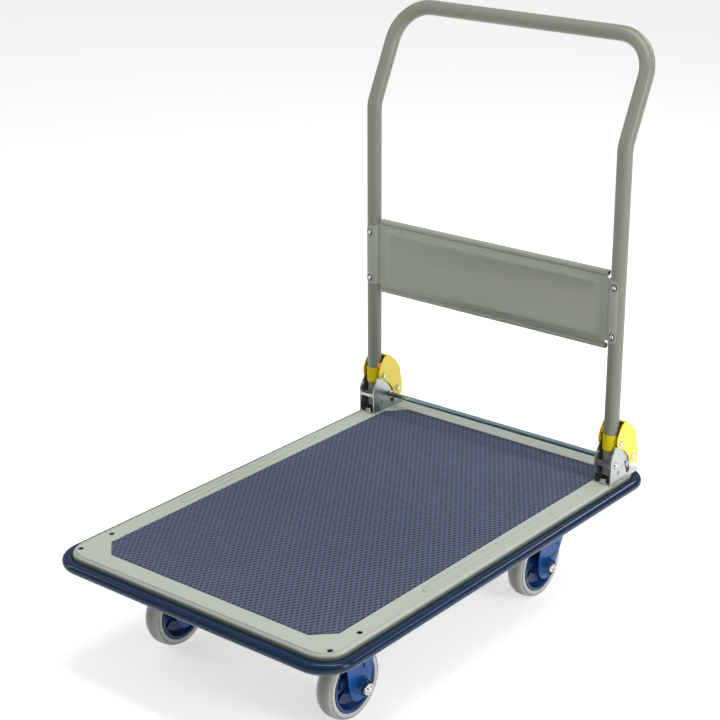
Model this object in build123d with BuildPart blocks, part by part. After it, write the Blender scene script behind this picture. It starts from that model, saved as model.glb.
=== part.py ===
"""Platform trolley with a folding handle.

Millimetres. +Z is up, +X is the trolley's right and +Y runs back to the handle.
The origin is on the floor, under the middle of the deck.
"""

import os
from math import atan2, cos, degrees, hypot, radians, sin, tan

from build123d import *

os.makedirs("parts", exist_ok=True)

# ---------------------------------------------------------------- driving dimensions
# Deck
DECK_HEIGHT = 207.0
MAT_WIDTH, MAT_LENGTH = 495.0, 804.0
MAT_CHAMFER = 33.5
MAT_THICKNESS = 3.0
RIM_WIDTH = 40.0
SHEET = 2.0
TRAY_DEPTH = 28.5
TRAY_CORNER = 42.0
RIM_ROUND = 7.0
LIP_WIDTH = 11.0
BUMPER_RADIUS = 9.0
BUMPER_CENTRE_OUT = 50.0
BRACKET_HOLE_X = 269.2
BRACKET_HOLE_Y = (347.0, 417.0)
BRACKET_HOLE_RADIUS = 5.0

# Handle
TUBE_RADIUS, TUBE_WALL = 13.6, 1.6
UPRIGHT_X, UPRIGHT_Y = 269.2, 364.5
TUBE_END_Z = 220.0
ELBOW_Z, HANDLE_TOP_Z = 817.4, 989.8
HANDLE_LEAN = 26.0
ELBOW_RADIUS, TOP_CORNER_RADIUS = 45.0, 68.0

PANEL_SCREW_Z, PANEL_SCREW_RADIUS = (482.6, 573.0), 2.4

# Fold pivot and lock
PIVOT_Y, PIVOT_Z = 357.0, 241.0
PIVOT_RADIUS = 4.0
BAR_Y, BAR_Z = 392.5, 234.0
BAR_RADIUS = 5.0
RUNNING_GAP = 0.05
GUARD_BOLT_POINTS = ((364.5, 282.0), (409.3, 243.7))
GUARD_BOLT_RADIUS = 2.9

# Half-thicknesses of the nested bracket layers, measured from the upright's centre
CRADLE_INNER, CRADLE_OUTER = 13.6, 15.2
PLATE_INNER, PLATE_OUTER = 15.5, 17.8
GUARD_INNER, GUARD_OUTER = 18.3, 20.5

# Casters
WHEEL_RADIUS = 63.0
TRACK_X = 190.0
CASTER_Y = 280.0
TRAIL = 31.0
AXLE_RADIUS = 6.0
LEG_INNER, LEG_OUTER = 24.0, 27.0
PLATE_TOP, PLATE_THICK = 177.0, 4.0
BOLT_SPACING_X, BOLT_SPACING_Y = 66.0, 80.0
BOLT_RADIUS = 4.0

# ---------------------------------------------------------------- derived dimensions
TRAY_WIDTH, TRAY_LENGTH = MAT_WIDTH + 2 * RIM_WIDTH, MAT_LENGTH + 2 * RIM_WIDTH
TRAY_BOTTOM = DECK_HEIGHT - TRAY_DEPTH
FLOOR_TOP = DECK_HEIGHT - MAT_THICKNESS
FLOOR_UNDERSIDE = FLOOR_TOP - SHEET
BUMPER_CENTRE_Z = TRAY_BOTTOM + SHEET + BUMPER_RADIUS
HANDLE_TOP_Y = UPRIGHT_Y + (HANDLE_TOP_Z - ELBOW_Z) * tan(radians(HANDLE_LEAN))
REAR_AXLE_Y = CASTER_Y - TRAIL
SIDES = {"left": -1, "right": 1}


def save(builder, name):
    """Label a finished piece and write it to its own STEP file."""
    builder.part.label = name
    export_step(builder.part, f"parts/{name}.step")


def tray_outline(grow=0.0):
    """The tray's rounded outline, grown or shrunk evenly."""
    RectangleRounded(TRAY_WIDTH + 2 * grow, TRAY_LENGTH + 2 * grow, TRAY_CORNER + grow)


def mat_outline(grow=0.0):
    """The mat's rectangle with its four corners cut off."""
    Rectangle(MAT_WIDTH + 2 * grow, MAT_LENGTH + 2 * grow)
    chamfer(vertices(), MAT_CHAMFER)


def slot_between(start, end, width):
    """A round-ended slot from one centre to the other."""
    run, rise = end[0] - start[0], end[1] - start[1]
    with Locations((start[0] + run / 2, start[1] + rise / 2)):
        SlotCenterToCenter(hypot(run, rise), width, rotation=degrees(atan2(rise, run)))


def upright_plane(side):
    """The YZ plane through one upright's centre: Y across, Z up, +X out."""
    return Plane(origin=(side * UPRIGHT_X, 0, 0), x_dir=(0, 1, 0), z_dir=(1, 0, 0))


def disc_along_x(x_from, x_to, y, z, radius):
    """Add a round bar along X between two stations."""
    with BuildSketch(Plane(origin=(x_from, 0, 0), x_dir=(0, 1, 0), z_dir=(1, 0, 0))) as disc:
        with Locations((y, z)):
            Circle(radius)
    extrude(disc.sketch, amount=x_to - x_from)


def hex_along_x(x_from, x_to, y, z, across_flats):
    """Add a hexagon bar along X between two stations."""
    with BuildSketch(Plane(origin=(x_from, 0, 0), x_dir=(0, 1, 0), z_dir=(1, 0, 0))) as hexagon:
        with Locations((y, z)):
            RegularPolygon(across_flats / 2, 6, major_radius=False)
    extrude(hexagon.sketch, amount=x_to - x_from)


# ================================================================ deck
# The hollow under the raised rim, which rises higher than the floor inside it.
with BuildPart() as rim_hollow:
    with BuildSketch(Plane.XY.offset(TRAY_BOTTOM)):
        tray_outline(-SHEET)
    extrude(amount=TRAY_DEPTH - SHEET)
    fillet(rim_hollow.faces().sort_by(Axis.Z)[-1].edges(), RIM_ROUND - 2 * SHEET)
    with BuildSketch(Plane.XY.offset(TRAY_BOTTOM)):
        mat_outline(SHEET)
    extrude(amount=TRAY_DEPTH, mode=Mode.SUBTRACT)

with BuildPart() as deck_tray:
    with BuildSketch(Plane.XY.offset(TRAY_BOTTOM)):
        tray_outline()
    extrude(amount=TRAY_DEPTH)
    fillet(deck_tray.faces().sort_by(Axis.Z)[-1].edges(), RIM_ROUND)
    with BuildSketch(Plane.XY.offset(TRAY_BOTTOM)):
        tray_outline(LIP_WIDTH)
    extrude(amount=SHEET)
    with BuildSketch(Plane.XY.offset(TRAY_BOTTOM)):
        tray_outline(-SHEET)
    extrude(amount=FLOOR_UNDERSIDE - TRAY_BOTTOM, mode=Mode.SUBTRACT)
    add(rim_hollow.part, mode=Mode.SUBTRACT)
    with BuildSketch(Plane.XY.offset(FLOOR_TOP)):
        mat_outline()
    extrude(amount=MAT_THICKNESS + 1, mode=Mode.SUBTRACT)
    # One pair of bracket holes in each corner, so the handle suits either end.
    with BuildSketch(Plane.XY.offset(DECK_HEIGHT + 1)):
        for y in (*BRACKET_HOLE_Y, *(-hole for hole in BRACKET_HOLE_Y)):
            with Locations((-BRACKET_HOLE_X, y), (BRACKET_HOLE_X, y)):
                Circle(BRACKET_HOLE_RADIUS)
    extrude(amount=-SHEET - 2, mode=Mode.SUBTRACT)
save(deck_tray, "deck_tray")

with BuildPart() as deck_mat:
    with BuildSketch(Plane.XY.offset(FLOOR_TOP)):
        mat_outline(-0.4)
    extrude(amount=MAT_THICKNESS)
save(deck_mat, "deck_mat")

with BuildPart() as bumper_strip:
    with BuildSketch(Plane.XY.offset(BUMPER_CENTRE_Z - BUMPER_RADIUS)):
        tray_outline(BUMPER_CENTRE_OUT + BUMPER_RADIUS - RIM_WIDTH)
    extrude(amount=2 * BUMPER_RADIUS)
    upright_faces = bumper_strip.faces().sort_by(Axis.Z)
    fillet(upright_faces[-1].edges() + upright_faces[0].edges(), BUMPER_RADIUS - 0.05)
    with BuildSketch(Plane.XY.offset(TRAY_BOTTOM)):
        tray_outline()
    extrude(amount=TRAY_DEPTH, mode=Mode.SUBTRACT)
save(bumper_strip, "bumper_strip")

# Hat-section ribs under the floor: wide ones across carry the casters, slim ones run between.
CROSS_RIB_LENGTH, CROSS_RIB_WIDTH, RIB_SHEET, RIB_FLANGE = 510.0, 100.0, 2.3, 14.0
LONG_RIB_X, LONG_RIB_WIDTH, LONG_RIB_DEPTH = 105.0, 46.0, 18.0
RIB_GAP = 0.4


def hat_rib(width, depth, plane, length):
    """A hat channel, open at the top, hanging from the floor's underside."""
    half, lip = width / 2, width / 2 + RIB_FLANGE
    with BuildPart() as rib:
        with BuildSketch(plane):
            with BuildLine():
                Polyline(
                    (-lip, 0), (-half + RIB_SHEET, 0), (-half + RIB_SHEET, RIB_SHEET - depth),
                    (half - RIB_SHEET, RIB_SHEET - depth), (half - RIB_SHEET, 0), (lip, 0),
                    (lip, -RIB_SHEET), (half, -RIB_SHEET), (half, -depth),
                    (-half, -depth), (-half, -RIB_SHEET), (-lip, -RIB_SHEET), close=True,
                )
            make_face()
        extrude(amount=length / 2, both=True)
    return rib


CASTER_BOLT_POINTS = [
    (sx * BOLT_SPACING_X / 2, sy * BOLT_SPACING_Y / 2) for sx in (-1, 1) for sy in (-1, 1)
]
for end_name, end in (("front", -1), ("rear", 1)):
    rib_plane = Plane(origin=(0, end * CASTER_Y, FLOOR_UNDERSIDE), x_dir=(0, 1, 0), z_dir=(1, 0, 0))
    plain_rib = hat_rib(CROSS_RIB_WIDTH, FLOOR_UNDERSIDE - PLATE_TOP, rib_plane, CROSS_RIB_LENGTH)
    with BuildPart() as cross_rib:
        add(plain_rib.part)
        with BuildSketch(Plane.XY.offset(PLATE_TOP - 1)):
            for side in SIDES.values():
                rib_points = [
                    (side * TRACK_X + x, end * CASTER_Y + y) for x, y in CASTER_BOLT_POINTS
                ]
                with Locations(*rib_points):
                    Circle(BOLT_RADIUS)
        extrude(amount=RIB_SHEET + 2, mode=Mode.SUBTRACT)
    save(cross_rib, f"cross_rib_{end_name}")

long_rib_length = 2 * (CASTER_Y - CROSS_RIB_WIDTH / 2 - RIB_FLANGE - RIB_GAP)
for side_name, side in SIDES.items():
    rib_plane = Plane(origin=(side * LONG_RIB_X, 0, FLOOR_UNDERSIDE), x_dir=(1, 0, 0), z_dir=(0, -1, 0))
    long_rib = hat_rib(LONG_RIB_WIDTH, LONG_RIB_DEPTH, rib_plane, long_rib_length)
    save(long_rib, f"long_rib_{side_name}")

# ================================================================ handle brackets
BRACKET_FRONT_Y, BRACKET_TAIL_Y = 340.0, 432.0
BRACKET_KNEE_Z, BRACKET_TAIL_Z = 255.0, 214.0
BRACKET_PEAK = (353.5, 279.0)
BRACKET_ARC_END = (404.0, 226.0)
BRACKET_ARC_MIDDLE = (386.5, 258.0)
SLOT_TOP = (390.7, 238.7)
SLOT_BOTTOM = (398.2, 219.6)
SLOT_HALF_WIDTH = BAR_RADIUS + 0.3
VIEW_HOLE = (365.0, 224.6)
VIEW_HOLE_LONG, VIEW_HOLE_WIDE, VIEW_HOLE_TILT = 9.0, 4.0, 65.0


def handle_bracket(side):
    """A channel of zinc-plated steel: two cheek plates up from a bolted base."""
    plane = upright_plane(side)
    with BuildPart() as bracket:
        with BuildSketch(plane):
            with BuildLine():
                Polyline(
                    BRACKET_ARC_END, (BRACKET_TAIL_Y, BRACKET_TAIL_Z), (BRACKET_TAIL_Y, DECK_HEIGHT),
                    (BRACKET_FRONT_Y, DECK_HEIGHT), (BRACKET_FRONT_Y, BRACKET_KNEE_Z), BRACKET_PEAK,
                )
                ThreePointArc(BRACKET_PEAK, BRACKET_ARC_MIDDLE, BRACKET_ARC_END)
            make_face()
            fillet(vertices().group_by(Axis.Y)[-1], 3)
        extrude(amount=PLATE_OUTER, both=True)
        with BuildSketch(plane):
            base_top = DECK_HEIGHT + PLATE_OUTER - PLATE_INNER
            with Locations((UPRIGHT_Y, base_top + 60)):
                Rectangle(200, 120)
        extrude(amount=PLATE_INNER, both=True, mode=Mode.SUBTRACT)
        with BuildSketch(plane):
            slot_between(SLOT_TOP, SLOT_BOTTOM, 2 * SLOT_HALF_WIDTH)
            with Locations(VIEW_HOLE):
                SlotOverall(VIEW_HOLE_LONG, VIEW_HOLE_WIDE, rotation=VIEW_HOLE_TILT)
            with Locations((PIVOT_Y, PIVOT_Z)):
                Circle(PIVOT_RADIUS)
        extrude(amount=PLATE_OUTER + 1, both=True, mode=Mode.SUBTRACT)
        with BuildSketch(Plane.XY.offset(DECK_HEIGHT - 1)):
            with Locations(*[(side * BRACKET_HOLE_X, y) for y in BRACKET_HOLE_Y]):
                Circle(BRACKET_HOLE_RADIUS)
        extrude(amount=5, mode=Mode.SUBTRACT)
    return bracket


for side_name, side in SIDES.items():
    save(handle_bracket(side), f"handle_bracket_{side_name}")

BASE_TOP = DECK_HEIGHT + PLATE_OUTER - PLATE_INNER
BOLT_HEAD_FLATS, BOLT_HEAD_HIGH, WASHER_RADIUS, WASHER_THICK = 13.0, 5.3, 9.0, 1.4
NUT_HIGH, BOLT_TAIL = 6.5, 3.0


def hex_bolt(points, head_base, head_up, grip):
    """Hexagon bolts along Z: washer, head, shank, and a nut at the far end of the grip.

    head_up is +1 with the head on top and -1 with the head below.
    """
    for x, y in points:
        head = Plane(origin=(x, y, head_base), z_dir=(0, 0, head_up))
        tail = Plane(origin=(x, y, head_base), z_dir=(0, 0, -head_up))
        with BuildSketch(head) as washer:
            Circle(WASHER_RADIUS)
        extrude(washer.sketch, amount=WASHER_THICK)
        with BuildSketch(head.offset(WASHER_THICK)) as hexagon:
            RegularPolygon(BOLT_HEAD_FLATS / 2, 6, major_radius=False)
        extrude(hexagon.sketch, amount=BOLT_HEAD_HIGH)
        with BuildSketch(tail) as shank:
            Circle(BOLT_RADIUS)
        extrude(shank.sketch, amount=grip + NUT_HIGH + BOLT_TAIL)
        with BuildSketch(tail.offset(grip)) as nut:
            RegularPolygon(BOLT_HEAD_FLATS / 2, 6, major_radius=False)
        extrude(nut.sketch, amount=NUT_HIGH)


with BuildPart() as bracket_bolts:
    bracket_points = [(side * BRACKET_HOLE_X, y) for side in SIDES.values() for y in BRACKET_HOLE_Y]
    hex_bolt(bracket_points, BASE_TOP, 1, BASE_TOP - (DECK_HEIGHT - SHEET))
save(bracket_bolts, "bracket_bolts")

# Pivot bolts: domed head outside, riveted end flush with the inner cheek.
PIVOT_HEAD_RADIUS, PIVOT_HEAD_THICK = 7.0, 3.4
for side_name, side in SIDES.items():
    outer_face, inner_face = side * (UPRIGHT_X + PLATE_OUTER), side * (UPRIGHT_X - PLATE_OUTER)
    with BuildPart() as pivot_bolt:
        disc_along_x(inner_face - side * 0.6, outer_face, PIVOT_Y, PIVOT_Z, PIVOT_RADIUS)
        disc_along_x(
            outer_face, outer_face + side * PIVOT_HEAD_THICK, PIVOT_Y, PIVOT_Z, PIVOT_HEAD_RADIUS
        )
        head_faces = pivot_bolt.faces().sort_by(Axis.X)
        fillet(head_faces[-1 if side > 0 else 0].edges(), PIVOT_HEAD_THICK - 0.6)
    save(pivot_bolt, f"pivot_bolt_{side_name}")

# ================================================================ lock bar
BAR_HALF_LENGTH = UPRIGHT_X + PLATE_OUTER + 1.6
CLIP_RADIUS, CLIP_THICK, CLIP_GROOVE = 7.0, 1.2, 4.2
clip_station = UPRIGHT_X - PLATE_OUTER - 0.4

with BuildPart() as lock_bar:
    disc_along_x(-BAR_HALF_LENGTH, BAR_HALF_LENGTH, BAR_Y, BAR_Z, BAR_RADIUS)
    end_faces = lock_bar.faces().sort_by(Axis.X)
    chamfer(end_faces[0].edges() + end_faces[-1].edges(), 0.8)
    for side in SIDES.values():
        plane = Plane(origin=(side * clip_station, 0, 0), x_dir=(0, 1, 0), z_dir=(1, 0, 0))
        with BuildSketch(plane):
            with Locations((BAR_Y, BAR_Z)):
                Circle(BAR_RADIUS + 1)
                Circle(CLIP_GROOVE, mode=Mode.SUBTRACT)
        extrude(amount=-side * CLIP_THICK, mode=Mode.SUBTRACT)
save(lock_bar, "lock_bar")

with BuildPart() as lock_bar_clips:
    for side in SIDES.values():
        plane = Plane(origin=(side * clip_station, 0, 0), x_dir=(0, 1, 0), z_dir=(1, 0, 0))
        with BuildSketch(plane):
            with Locations((BAR_Y, BAR_Z)):
                Circle(CLIP_RADIUS)
                Circle(CLIP_GROOVE, mode=Mode.SUBTRACT)
            # The clip's mouth, open at the back.
            with Locations((BAR_Y + CLIP_RADIUS, BAR_Z)):
                Rectangle(2 * CLIP_RADIUS, 1.6 * CLIP_GROOVE, mode=Mode.SUBTRACT)
        extrude(amount=-side * CLIP_THICK)
save(lock_bar_clips, "lock_bar_clips")

# A small compression spring stands under the bar in each bracket and lifts it.
SPRING_RADIUS, SPRING_WIRE, SPRING_TURNS = 4.2, 0.5, 5
spring_foot, spring_head = BASE_TOP + SPRING_WIRE + 0.1, BAR_Z - BAR_RADIUS - SPRING_WIRE - 0.1
for side_name, side in SIDES.items():
    spring_centre = (side * UPRIGHT_X, BAR_Y + 1.5, spring_foot)
    with BuildPart() as lock_spring:
        with BuildLine() as coil:
            spring_rise = spring_head - spring_foot
            Helix(spring_rise / SPRING_TURNS, spring_rise, SPRING_RADIUS, center=spring_centre)
        with BuildSketch(Plane(origin=coil.line @ 0, z_dir=coil.line % 0)):
            Circle(SPRING_WIRE)
        sweep()
    save(lock_spring, f"lock_spring_{side_name}")

# ================================================================ handle
def ring_sketch(origin, direction):
    """The tube's section on a plane square to a direction."""
    with BuildSketch(Plane(origin=origin, z_dir=direction)) as section:
        Circle(TUBE_RADIUS)
        Circle(TUBE_RADIUS - TUBE_WALL, mode=Mode.SUBTRACT)
    return section.sketch


HANDLE_CORNERS = (
    (-UPRIGHT_X, UPRIGHT_Y, TUBE_END_Z), (-UPRIGHT_X, UPRIGHT_Y, ELBOW_Z),
    (-UPRIGHT_X, HANDLE_TOP_Y, HANDLE_TOP_Z), (UPRIGHT_X, HANDLE_TOP_Y, HANDLE_TOP_Z),
    (UPRIGHT_X, UPRIGHT_Y, ELBOW_Z), (UPRIGHT_X, UPRIGHT_Y, TUBE_END_Z),
)
HANDLE_RADII = (ELBOW_RADIUS, TOP_CORNER_RADIUS, TOP_CORNER_RADIUS, ELBOW_RADIUS)

with BuildPart() as handle_tube:
    run_start = Vector(HANDLE_CORNERS[0])
    for index, bend_radius in enumerate(HANDLE_RADII, start=1):
        corner = Vector(HANDLE_CORNERS[index])
        into = (corner - run_start).normalized()
        away = (Vector(HANDLE_CORNERS[index + 1]) - corner).normalized()
        bend_angle = into.get_angle(away)
        setback = bend_radius * tan(radians(bend_angle / 2))
        bend_start = corner - into * setback
        extrude(ring_sketch(run_start, into), amount=(bend_start - run_start).length)
        bend_normal = into.cross(away).normalized()
        bend_centre = bend_start + bend_normal.cross(into) * bend_radius
        revolve(
            ring_sketch(bend_start, into), axis=Axis(bend_centre, bend_normal),
            revolution_arc=bend_angle,
        )
        run_start = corner + away * setback
    last_run = Vector(HANDLE_CORNERS[-1]) - run_start
    extrude(ring_sketch(run_start, last_run.normalized()), amount=last_run.length)
    # Cross holes for the pivot and for the guard's upper bolt.
    for side in SIDES.values():
        with BuildSketch(upright_plane(side)):
            with Locations((PIVOT_Y, PIVOT_Z)):
                Circle(PIVOT_RADIUS + RUNNING_GAP)
            with Locations(GUARD_BOLT_POINTS[0]):
                Circle(GUARD_BOLT_RADIUS + 0.1)
        extrude(amount=TUBE_RADIUS + 1, both=True, mode=Mode.SUBTRACT)
    with BuildSketch(Plane(origin=(0, UPRIGHT_Y, 0), x_dir=(1, 0, 0), z_dir=(0, -1, 0))):
        for side in SIDES.values():
            with Locations(*[(side * UPRIGHT_X, z) for z in PANEL_SCREW_Z]):
                Circle(PANEL_SCREW_RADIUS + 0.1)
    extrude(amount=TUBE_RADIUS + 1, mode=Mode.SUBTRACT)
save(handle_tube, "handle_tube")

# The sign panel between the uprights: flat sheet, rolled top and bottom, tabs round the tubes.
PANEL_FRONT_Y, PANEL_SHEET = 359.5, 1.5
PANEL_HALF_LENGTH = 249.4
ROLL_RADIUS, ROLL_TOP_Z, ROLL_BOTTOM_Z = 5.5, 593.2, 459.1
TAB_BOTTOM_Z, TAB_TOP_Z = 471.0, 586.0
TAB_WRAP, TAB_PAST_CENTRE = 1.4, 7.0
SCREW_HEAD_RADIUS, SCREW_HEAD_THICK = 5.2, 2.6
FIELD_WIDTH, FIELD_HEIGHT, FIELD_RAISE = 480.0, 98.0, 1.2

with BuildPart() as handle_panel:
    with BuildSketch(Plane.YZ):
        with Locations((PANEL_FRONT_Y + PANEL_SHEET / 2, (ROLL_TOP_Z + ROLL_BOTTOM_Z) / 2)):
            Rectangle(PANEL_SHEET, ROLL_TOP_Z - ROLL_BOTTOM_Z)
        for z in (ROLL_TOP_Z, ROLL_BOTTOM_Z):
            with Locations((PANEL_FRONT_Y + ROLL_RADIUS, z)):
                Circle(ROLL_RADIUS)
                Circle(ROLL_RADIUS - PANEL_SHEET, mode=Mode.SUBTRACT)
    extrude(amount=PANEL_HALF_LENGTH, both=True)
    # A shallow pressed field stiffens the flat sheet.
    field_plane = Plane(origin=(0, PANEL_FRONT_Y, 526.5), x_dir=(1, 0, 0), z_dir=(0, -1, 0))
    with BuildSketch(field_plane):
        RectangleRounded(FIELD_WIDTH, FIELD_HEIGHT, 12)
    extrude(amount=FIELD_RAISE)
    with BuildSketch(field_plane.offset(-PANEL_SHEET)):
        RectangleRounded(FIELD_WIDTH - 3, FIELD_HEIGHT - 3, 10.5)
    extrude(amount=FIELD_RAISE, mode=Mode.SUBTRACT)
    with BuildSketch(Plane.XY.offset(TAB_BOTTOM_Z)):
        for side in SIDES.values():
            with Locations((side * (PANEL_HALF_LENGTH + 5), PANEL_FRONT_Y + PANEL_SHEET / 2)):
                Rectangle(12, PANEL_SHEET)
            with Locations((side * UPRIGHT_X, UPRIGHT_Y)):
                Circle(TUBE_RADIUS + TAB_WRAP)
            with Locations((side * (UPRIGHT_X + TAB_PAST_CENTRE + 20), UPRIGHT_Y)):
                Rectangle(40, 60, mode=Mode.SUBTRACT)
            with Locations((side * UPRIGHT_X, PANEL_FRONT_Y + PANEL_SHEET + 20)):
                Rectangle(60, 40, mode=Mode.SUBTRACT)
            with Locations((side * UPRIGHT_X, UPRIGHT_Y)):
                Circle(TUBE_RADIUS, mode=Mode.SUBTRACT)
    extrude(amount=TAB_TOP_Z - TAB_BOTTOM_Z)
    with BuildSketch(Plane(origin=(0, UPRIGHT_Y, 0), x_dir=(1, 0, 0), z_dir=(0, -1, 0))):
        for side in SIDES.values():
            with Locations(*[(side * UPRIGHT_X, z) for z in PANEL_SCREW_Z]):
                Circle(PANEL_SCREW_RADIUS + 0.1)
    extrude(amount=30, mode=Mode.SUBTRACT)
save(handle_panel, "handle_panel")

with BuildPart() as panel_screws:
    tab_face_y = UPRIGHT_Y - TUBE_RADIUS - TAB_WRAP
    with BuildSketch(Plane(origin=(0, tab_face_y, 0), x_dir=(1, 0, 0), z_dir=(0, -1, 0))):
        for side in SIDES.values():
            with Locations(*[(side * UPRIGHT_X, z) for z in PANEL_SCREW_Z]):
                Circle(SCREW_HEAD_RADIUS)
    extrude(amount=SCREW_HEAD_THICK)
    fillet(panel_screws.faces().sort_by(Axis.Y)[0:4].edges(), SCREW_HEAD_THICK - 0.5)
    with BuildSketch(Plane(origin=(0, tab_face_y, 0), x_dir=(1, 0, 0), z_dir=(0, 1, 0))):
        for side in SIDES.values():
            with Locations(*[(side * UPRIGHT_X, -z) for z in PANEL_SCREW_Z]):
                Circle(PANEL_SCREW_RADIUS)
    extrude(amount=9)
save(panel_screws, "panel_screws")

# ---------------------------------------------------------------- cradle at each tube's foot
STRAP_BACK_Y, STRAP_BOTTOM_Z, STRAP_TOP_Z = 342.3, 241.5, 247.0
CRADLE_OUTLINE = (
    (340.0, 247.0), (345.0, 262.0), (351.0, 266.0), (379.0, 266.0), (412.0, 256.0),
    (417.0, 246.0), (414.0, 240.4), (383.0, 240.4), (379.0, 226.0), (368.0, 219.0),
    (352.0, 219.0), (345.0, 226.0), (340.0, 241.5),
)

for side_name, side in SIDES.items():
    with BuildPart() as lock_quadrant:
        with BuildSketch(upright_plane(side)):
            with BuildLine():
                Polyline(*CRADLE_OUTLINE, close=True)
            make_face()
        extrude(amount=CRADLE_OUTER, both=True)
        with BuildSketch(upright_plane(side)):
            with Locations((STRAP_BACK_Y + 50, UPRIGHT_Y - 120)):
                Rectangle(100, 100)
            with Locations((STRAP_BACK_Y, STRAP_TOP_Z + 20), (STRAP_BACK_Y, STRAP_BOTTOM_Z - 20)):
                Rectangle(10, 40)
        extrude(amount=CRADLE_INNER, both=True, mode=Mode.SUBTRACT)
        with BuildSketch(upright_plane(side)):
            with Locations((PIVOT_Y, PIVOT_Z)):
                Circle(PIVOT_RADIUS + RUNNING_GAP)
            with Locations(GUARD_BOLT_POINTS[1]):
                Circle(GUARD_BOLT_RADIUS + 0.1)
        extrude(amount=CRADLE_OUTER + 1, both=True, mode=Mode.SUBTRACT)
    save(lock_quadrant, f"lock_quadrant_{side_name}")

# ---------------------------------------------------------------- yellow guards
GUARD_WEB = 2.2
GUARD_REAR = (
    (362.5, 308.0), (369.5, 316.5), (377.5, 319.5), (387.0, 317.5), (404.7, 303.6),
    (418.5, 284.4), (426.1, 248.6), (425.3, 226.2), (403.2, 229.0),
)
GUARD_MOUTH_MIDDLE, GUARD_MOUTH_END = (386.6, 257.0), (362.3, 273.3)
GUARD_LOBE_MIDDLE, GUARD_LOBE_END = (356.4, 277.0), (353.8, 284.0)
GUARD_FRONT_TOP = (354.2, 294.0)

for side_name, side in SIDES.items():
    with BuildPart() as pivot_guard:
        with BuildSketch(upright_plane(side)) as guard_outline:
            with BuildLine():
                Polyline(GUARD_LOBE_END, GUARD_FRONT_TOP, *GUARD_REAR)
                ThreePointArc(GUARD_REAR[-1], GUARD_MOUTH_MIDDLE, GUARD_MOUTH_END)
                ThreePointArc(GUARD_MOUTH_END, GUARD_LOBE_MIDDLE, GUARD_LOBE_END)
            make_face()
        extrude(amount=GUARD_OUTER, both=True)
        # Open at the front for the tube and below for the cradle; the web is left behind and on top.
        with BuildSketch(upright_plane(side)):
            add(guard_outline.sketch_local)
            offset(amount=-GUARD_WEB, mode=Mode.REPLACE)
            with Locations((UPRIGHT_Y + TUBE_RADIUS + 0.5 - 20, 260)):
                Rectangle(40, 160)
            with BuildLine():
                Polyline(
                    (370, 200), (370, 275), (390, 262), (405, 240), (423.2, 240), (423.2, 200),
                    close=True,
                )
            make_face()
        extrude(amount=GUARD_INNER, both=True, mode=Mode.SUBTRACT)
        with BuildSketch(upright_plane(side)):
            with Locations(*GUARD_BOLT_POINTS):
                Circle(GUARD_BOLT_RADIUS + 0.1)
        extrude(amount=GUARD_OUTER + 1, both=True, mode=Mode.SUBTRACT)
    save(pivot_guard, f"pivot_guard_{side_name}")

GUARD_HEAD_RADIUS, GUARD_HEAD_THICK, GUARD_NUT_FLATS = 6.6, 2.6, 10.0
with BuildPart() as guard_bolts:
    for side in SIDES.values():
        outer, inner = side * (UPRIGHT_X + GUARD_OUTER), side * (UPRIGHT_X - GUARD_OUTER)
        for y, z in GUARD_BOLT_POINTS:
            disc_along_x(inner - side * 4.5, outer, y, z, GUARD_BOLT_RADIUS)
            disc_along_x(outer, outer + side * GUARD_HEAD_THICK, y, z, GUARD_HEAD_RADIUS)
            hex_along_x(inner, inner - side * 3.4, y, z, GUARD_NUT_FLATS)
save(guard_bolts, "guard_bolts")

# Printed sleeves round the front of each tube, and the rubber buffers beside them.
COLLAR_THICK, COLLAR_BOTTOM_Z, COLLAR_TOP_Z = 1.2, 268.0, 297.4
COLLAR_BACK_Y = 360.0
BUFFER_Y, BUFFER_Z, BUFFER_LONG, BUFFER_HIGH = 361.5, 302.0, 9.0, 8.4
for side_name, side in SIDES.items():
    with BuildPart() as tube_collar:
        with BuildSketch(Plane.XY.offset(COLLAR_BOTTOM_Z)):
            with Locations((side * UPRIGHT_X, UPRIGHT_Y)):
                Circle(TUBE_RADIUS + COLLAR_THICK)
            with Locations((side * UPRIGHT_X, COLLAR_BACK_Y + 20)):
                Rectangle(60, 40, mode=Mode.SUBTRACT)
            with Locations((side * UPRIGHT_X, UPRIGHT_Y)):
                Circle(TUBE_RADIUS, mode=Mode.SUBTRACT)
        extrude(amount=COLLAR_TOP_Z - COLLAR_BOTTOM_Z)
    save(tube_collar, f"tube_collar_{side_name}")

    with BuildPart() as stop_buffer:
        with BuildSketch(Plane.XY.offset(BUFFER_Z - BUFFER_HIGH / 2)):
            with Locations((side * (UPRIGHT_X - (TUBE_RADIUS + GUARD_INNER) / 2), BUFFER_Y)):
                Rectangle(GUARD_INNER - TUBE_RADIUS + 2.6, BUFFER_LONG)
            with Locations((side * UPRIGHT_X, UPRIGHT_Y)):
                Circle(TUBE_RADIUS, mode=Mode.SUBTRACT)
            with Locations((side * (UPRIGHT_X - GUARD_INNER - 10), BUFFER_Y)):
                Rectangle(20, 60, mode=Mode.SUBTRACT)
        extrude(amount=BUFFER_HIGH)
    save(stop_buffer, f"stop_buffer_{side_name}")

# ================================================================ casters
LEG_END_RADIUS = 25.5
LEG_KNEE_HALF, LEG_KNEE_Z = 32.0, 100.0
BOSS_HEIGHT, BOSS_BASE_RADIUS, BOSS_TOP_RADIUS = 7.0, 18.0, 13.5
FORK_TOP_Z = 162.8
ROOF_SHEET, CROWN_RADIUS, CROWN_THICK = 3.0, 38.0, 4.0
PLATE_WIDTH, PLATE_LENGTH, PLATE_CORNER = 86.0, 100.0, 8.0
KINGPIN_RADIUS, KINGPIN_FLANGE = 6.0, 11.0
RACE_RADIUS, BALL_RADIUS, BALL_COUNT = 27.0, 3.0, 14
DUST_RING_OUTER, DUST_RING_INNER, DUST_RING_BOTTOM = 36.0, 34.0, 167.4


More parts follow.
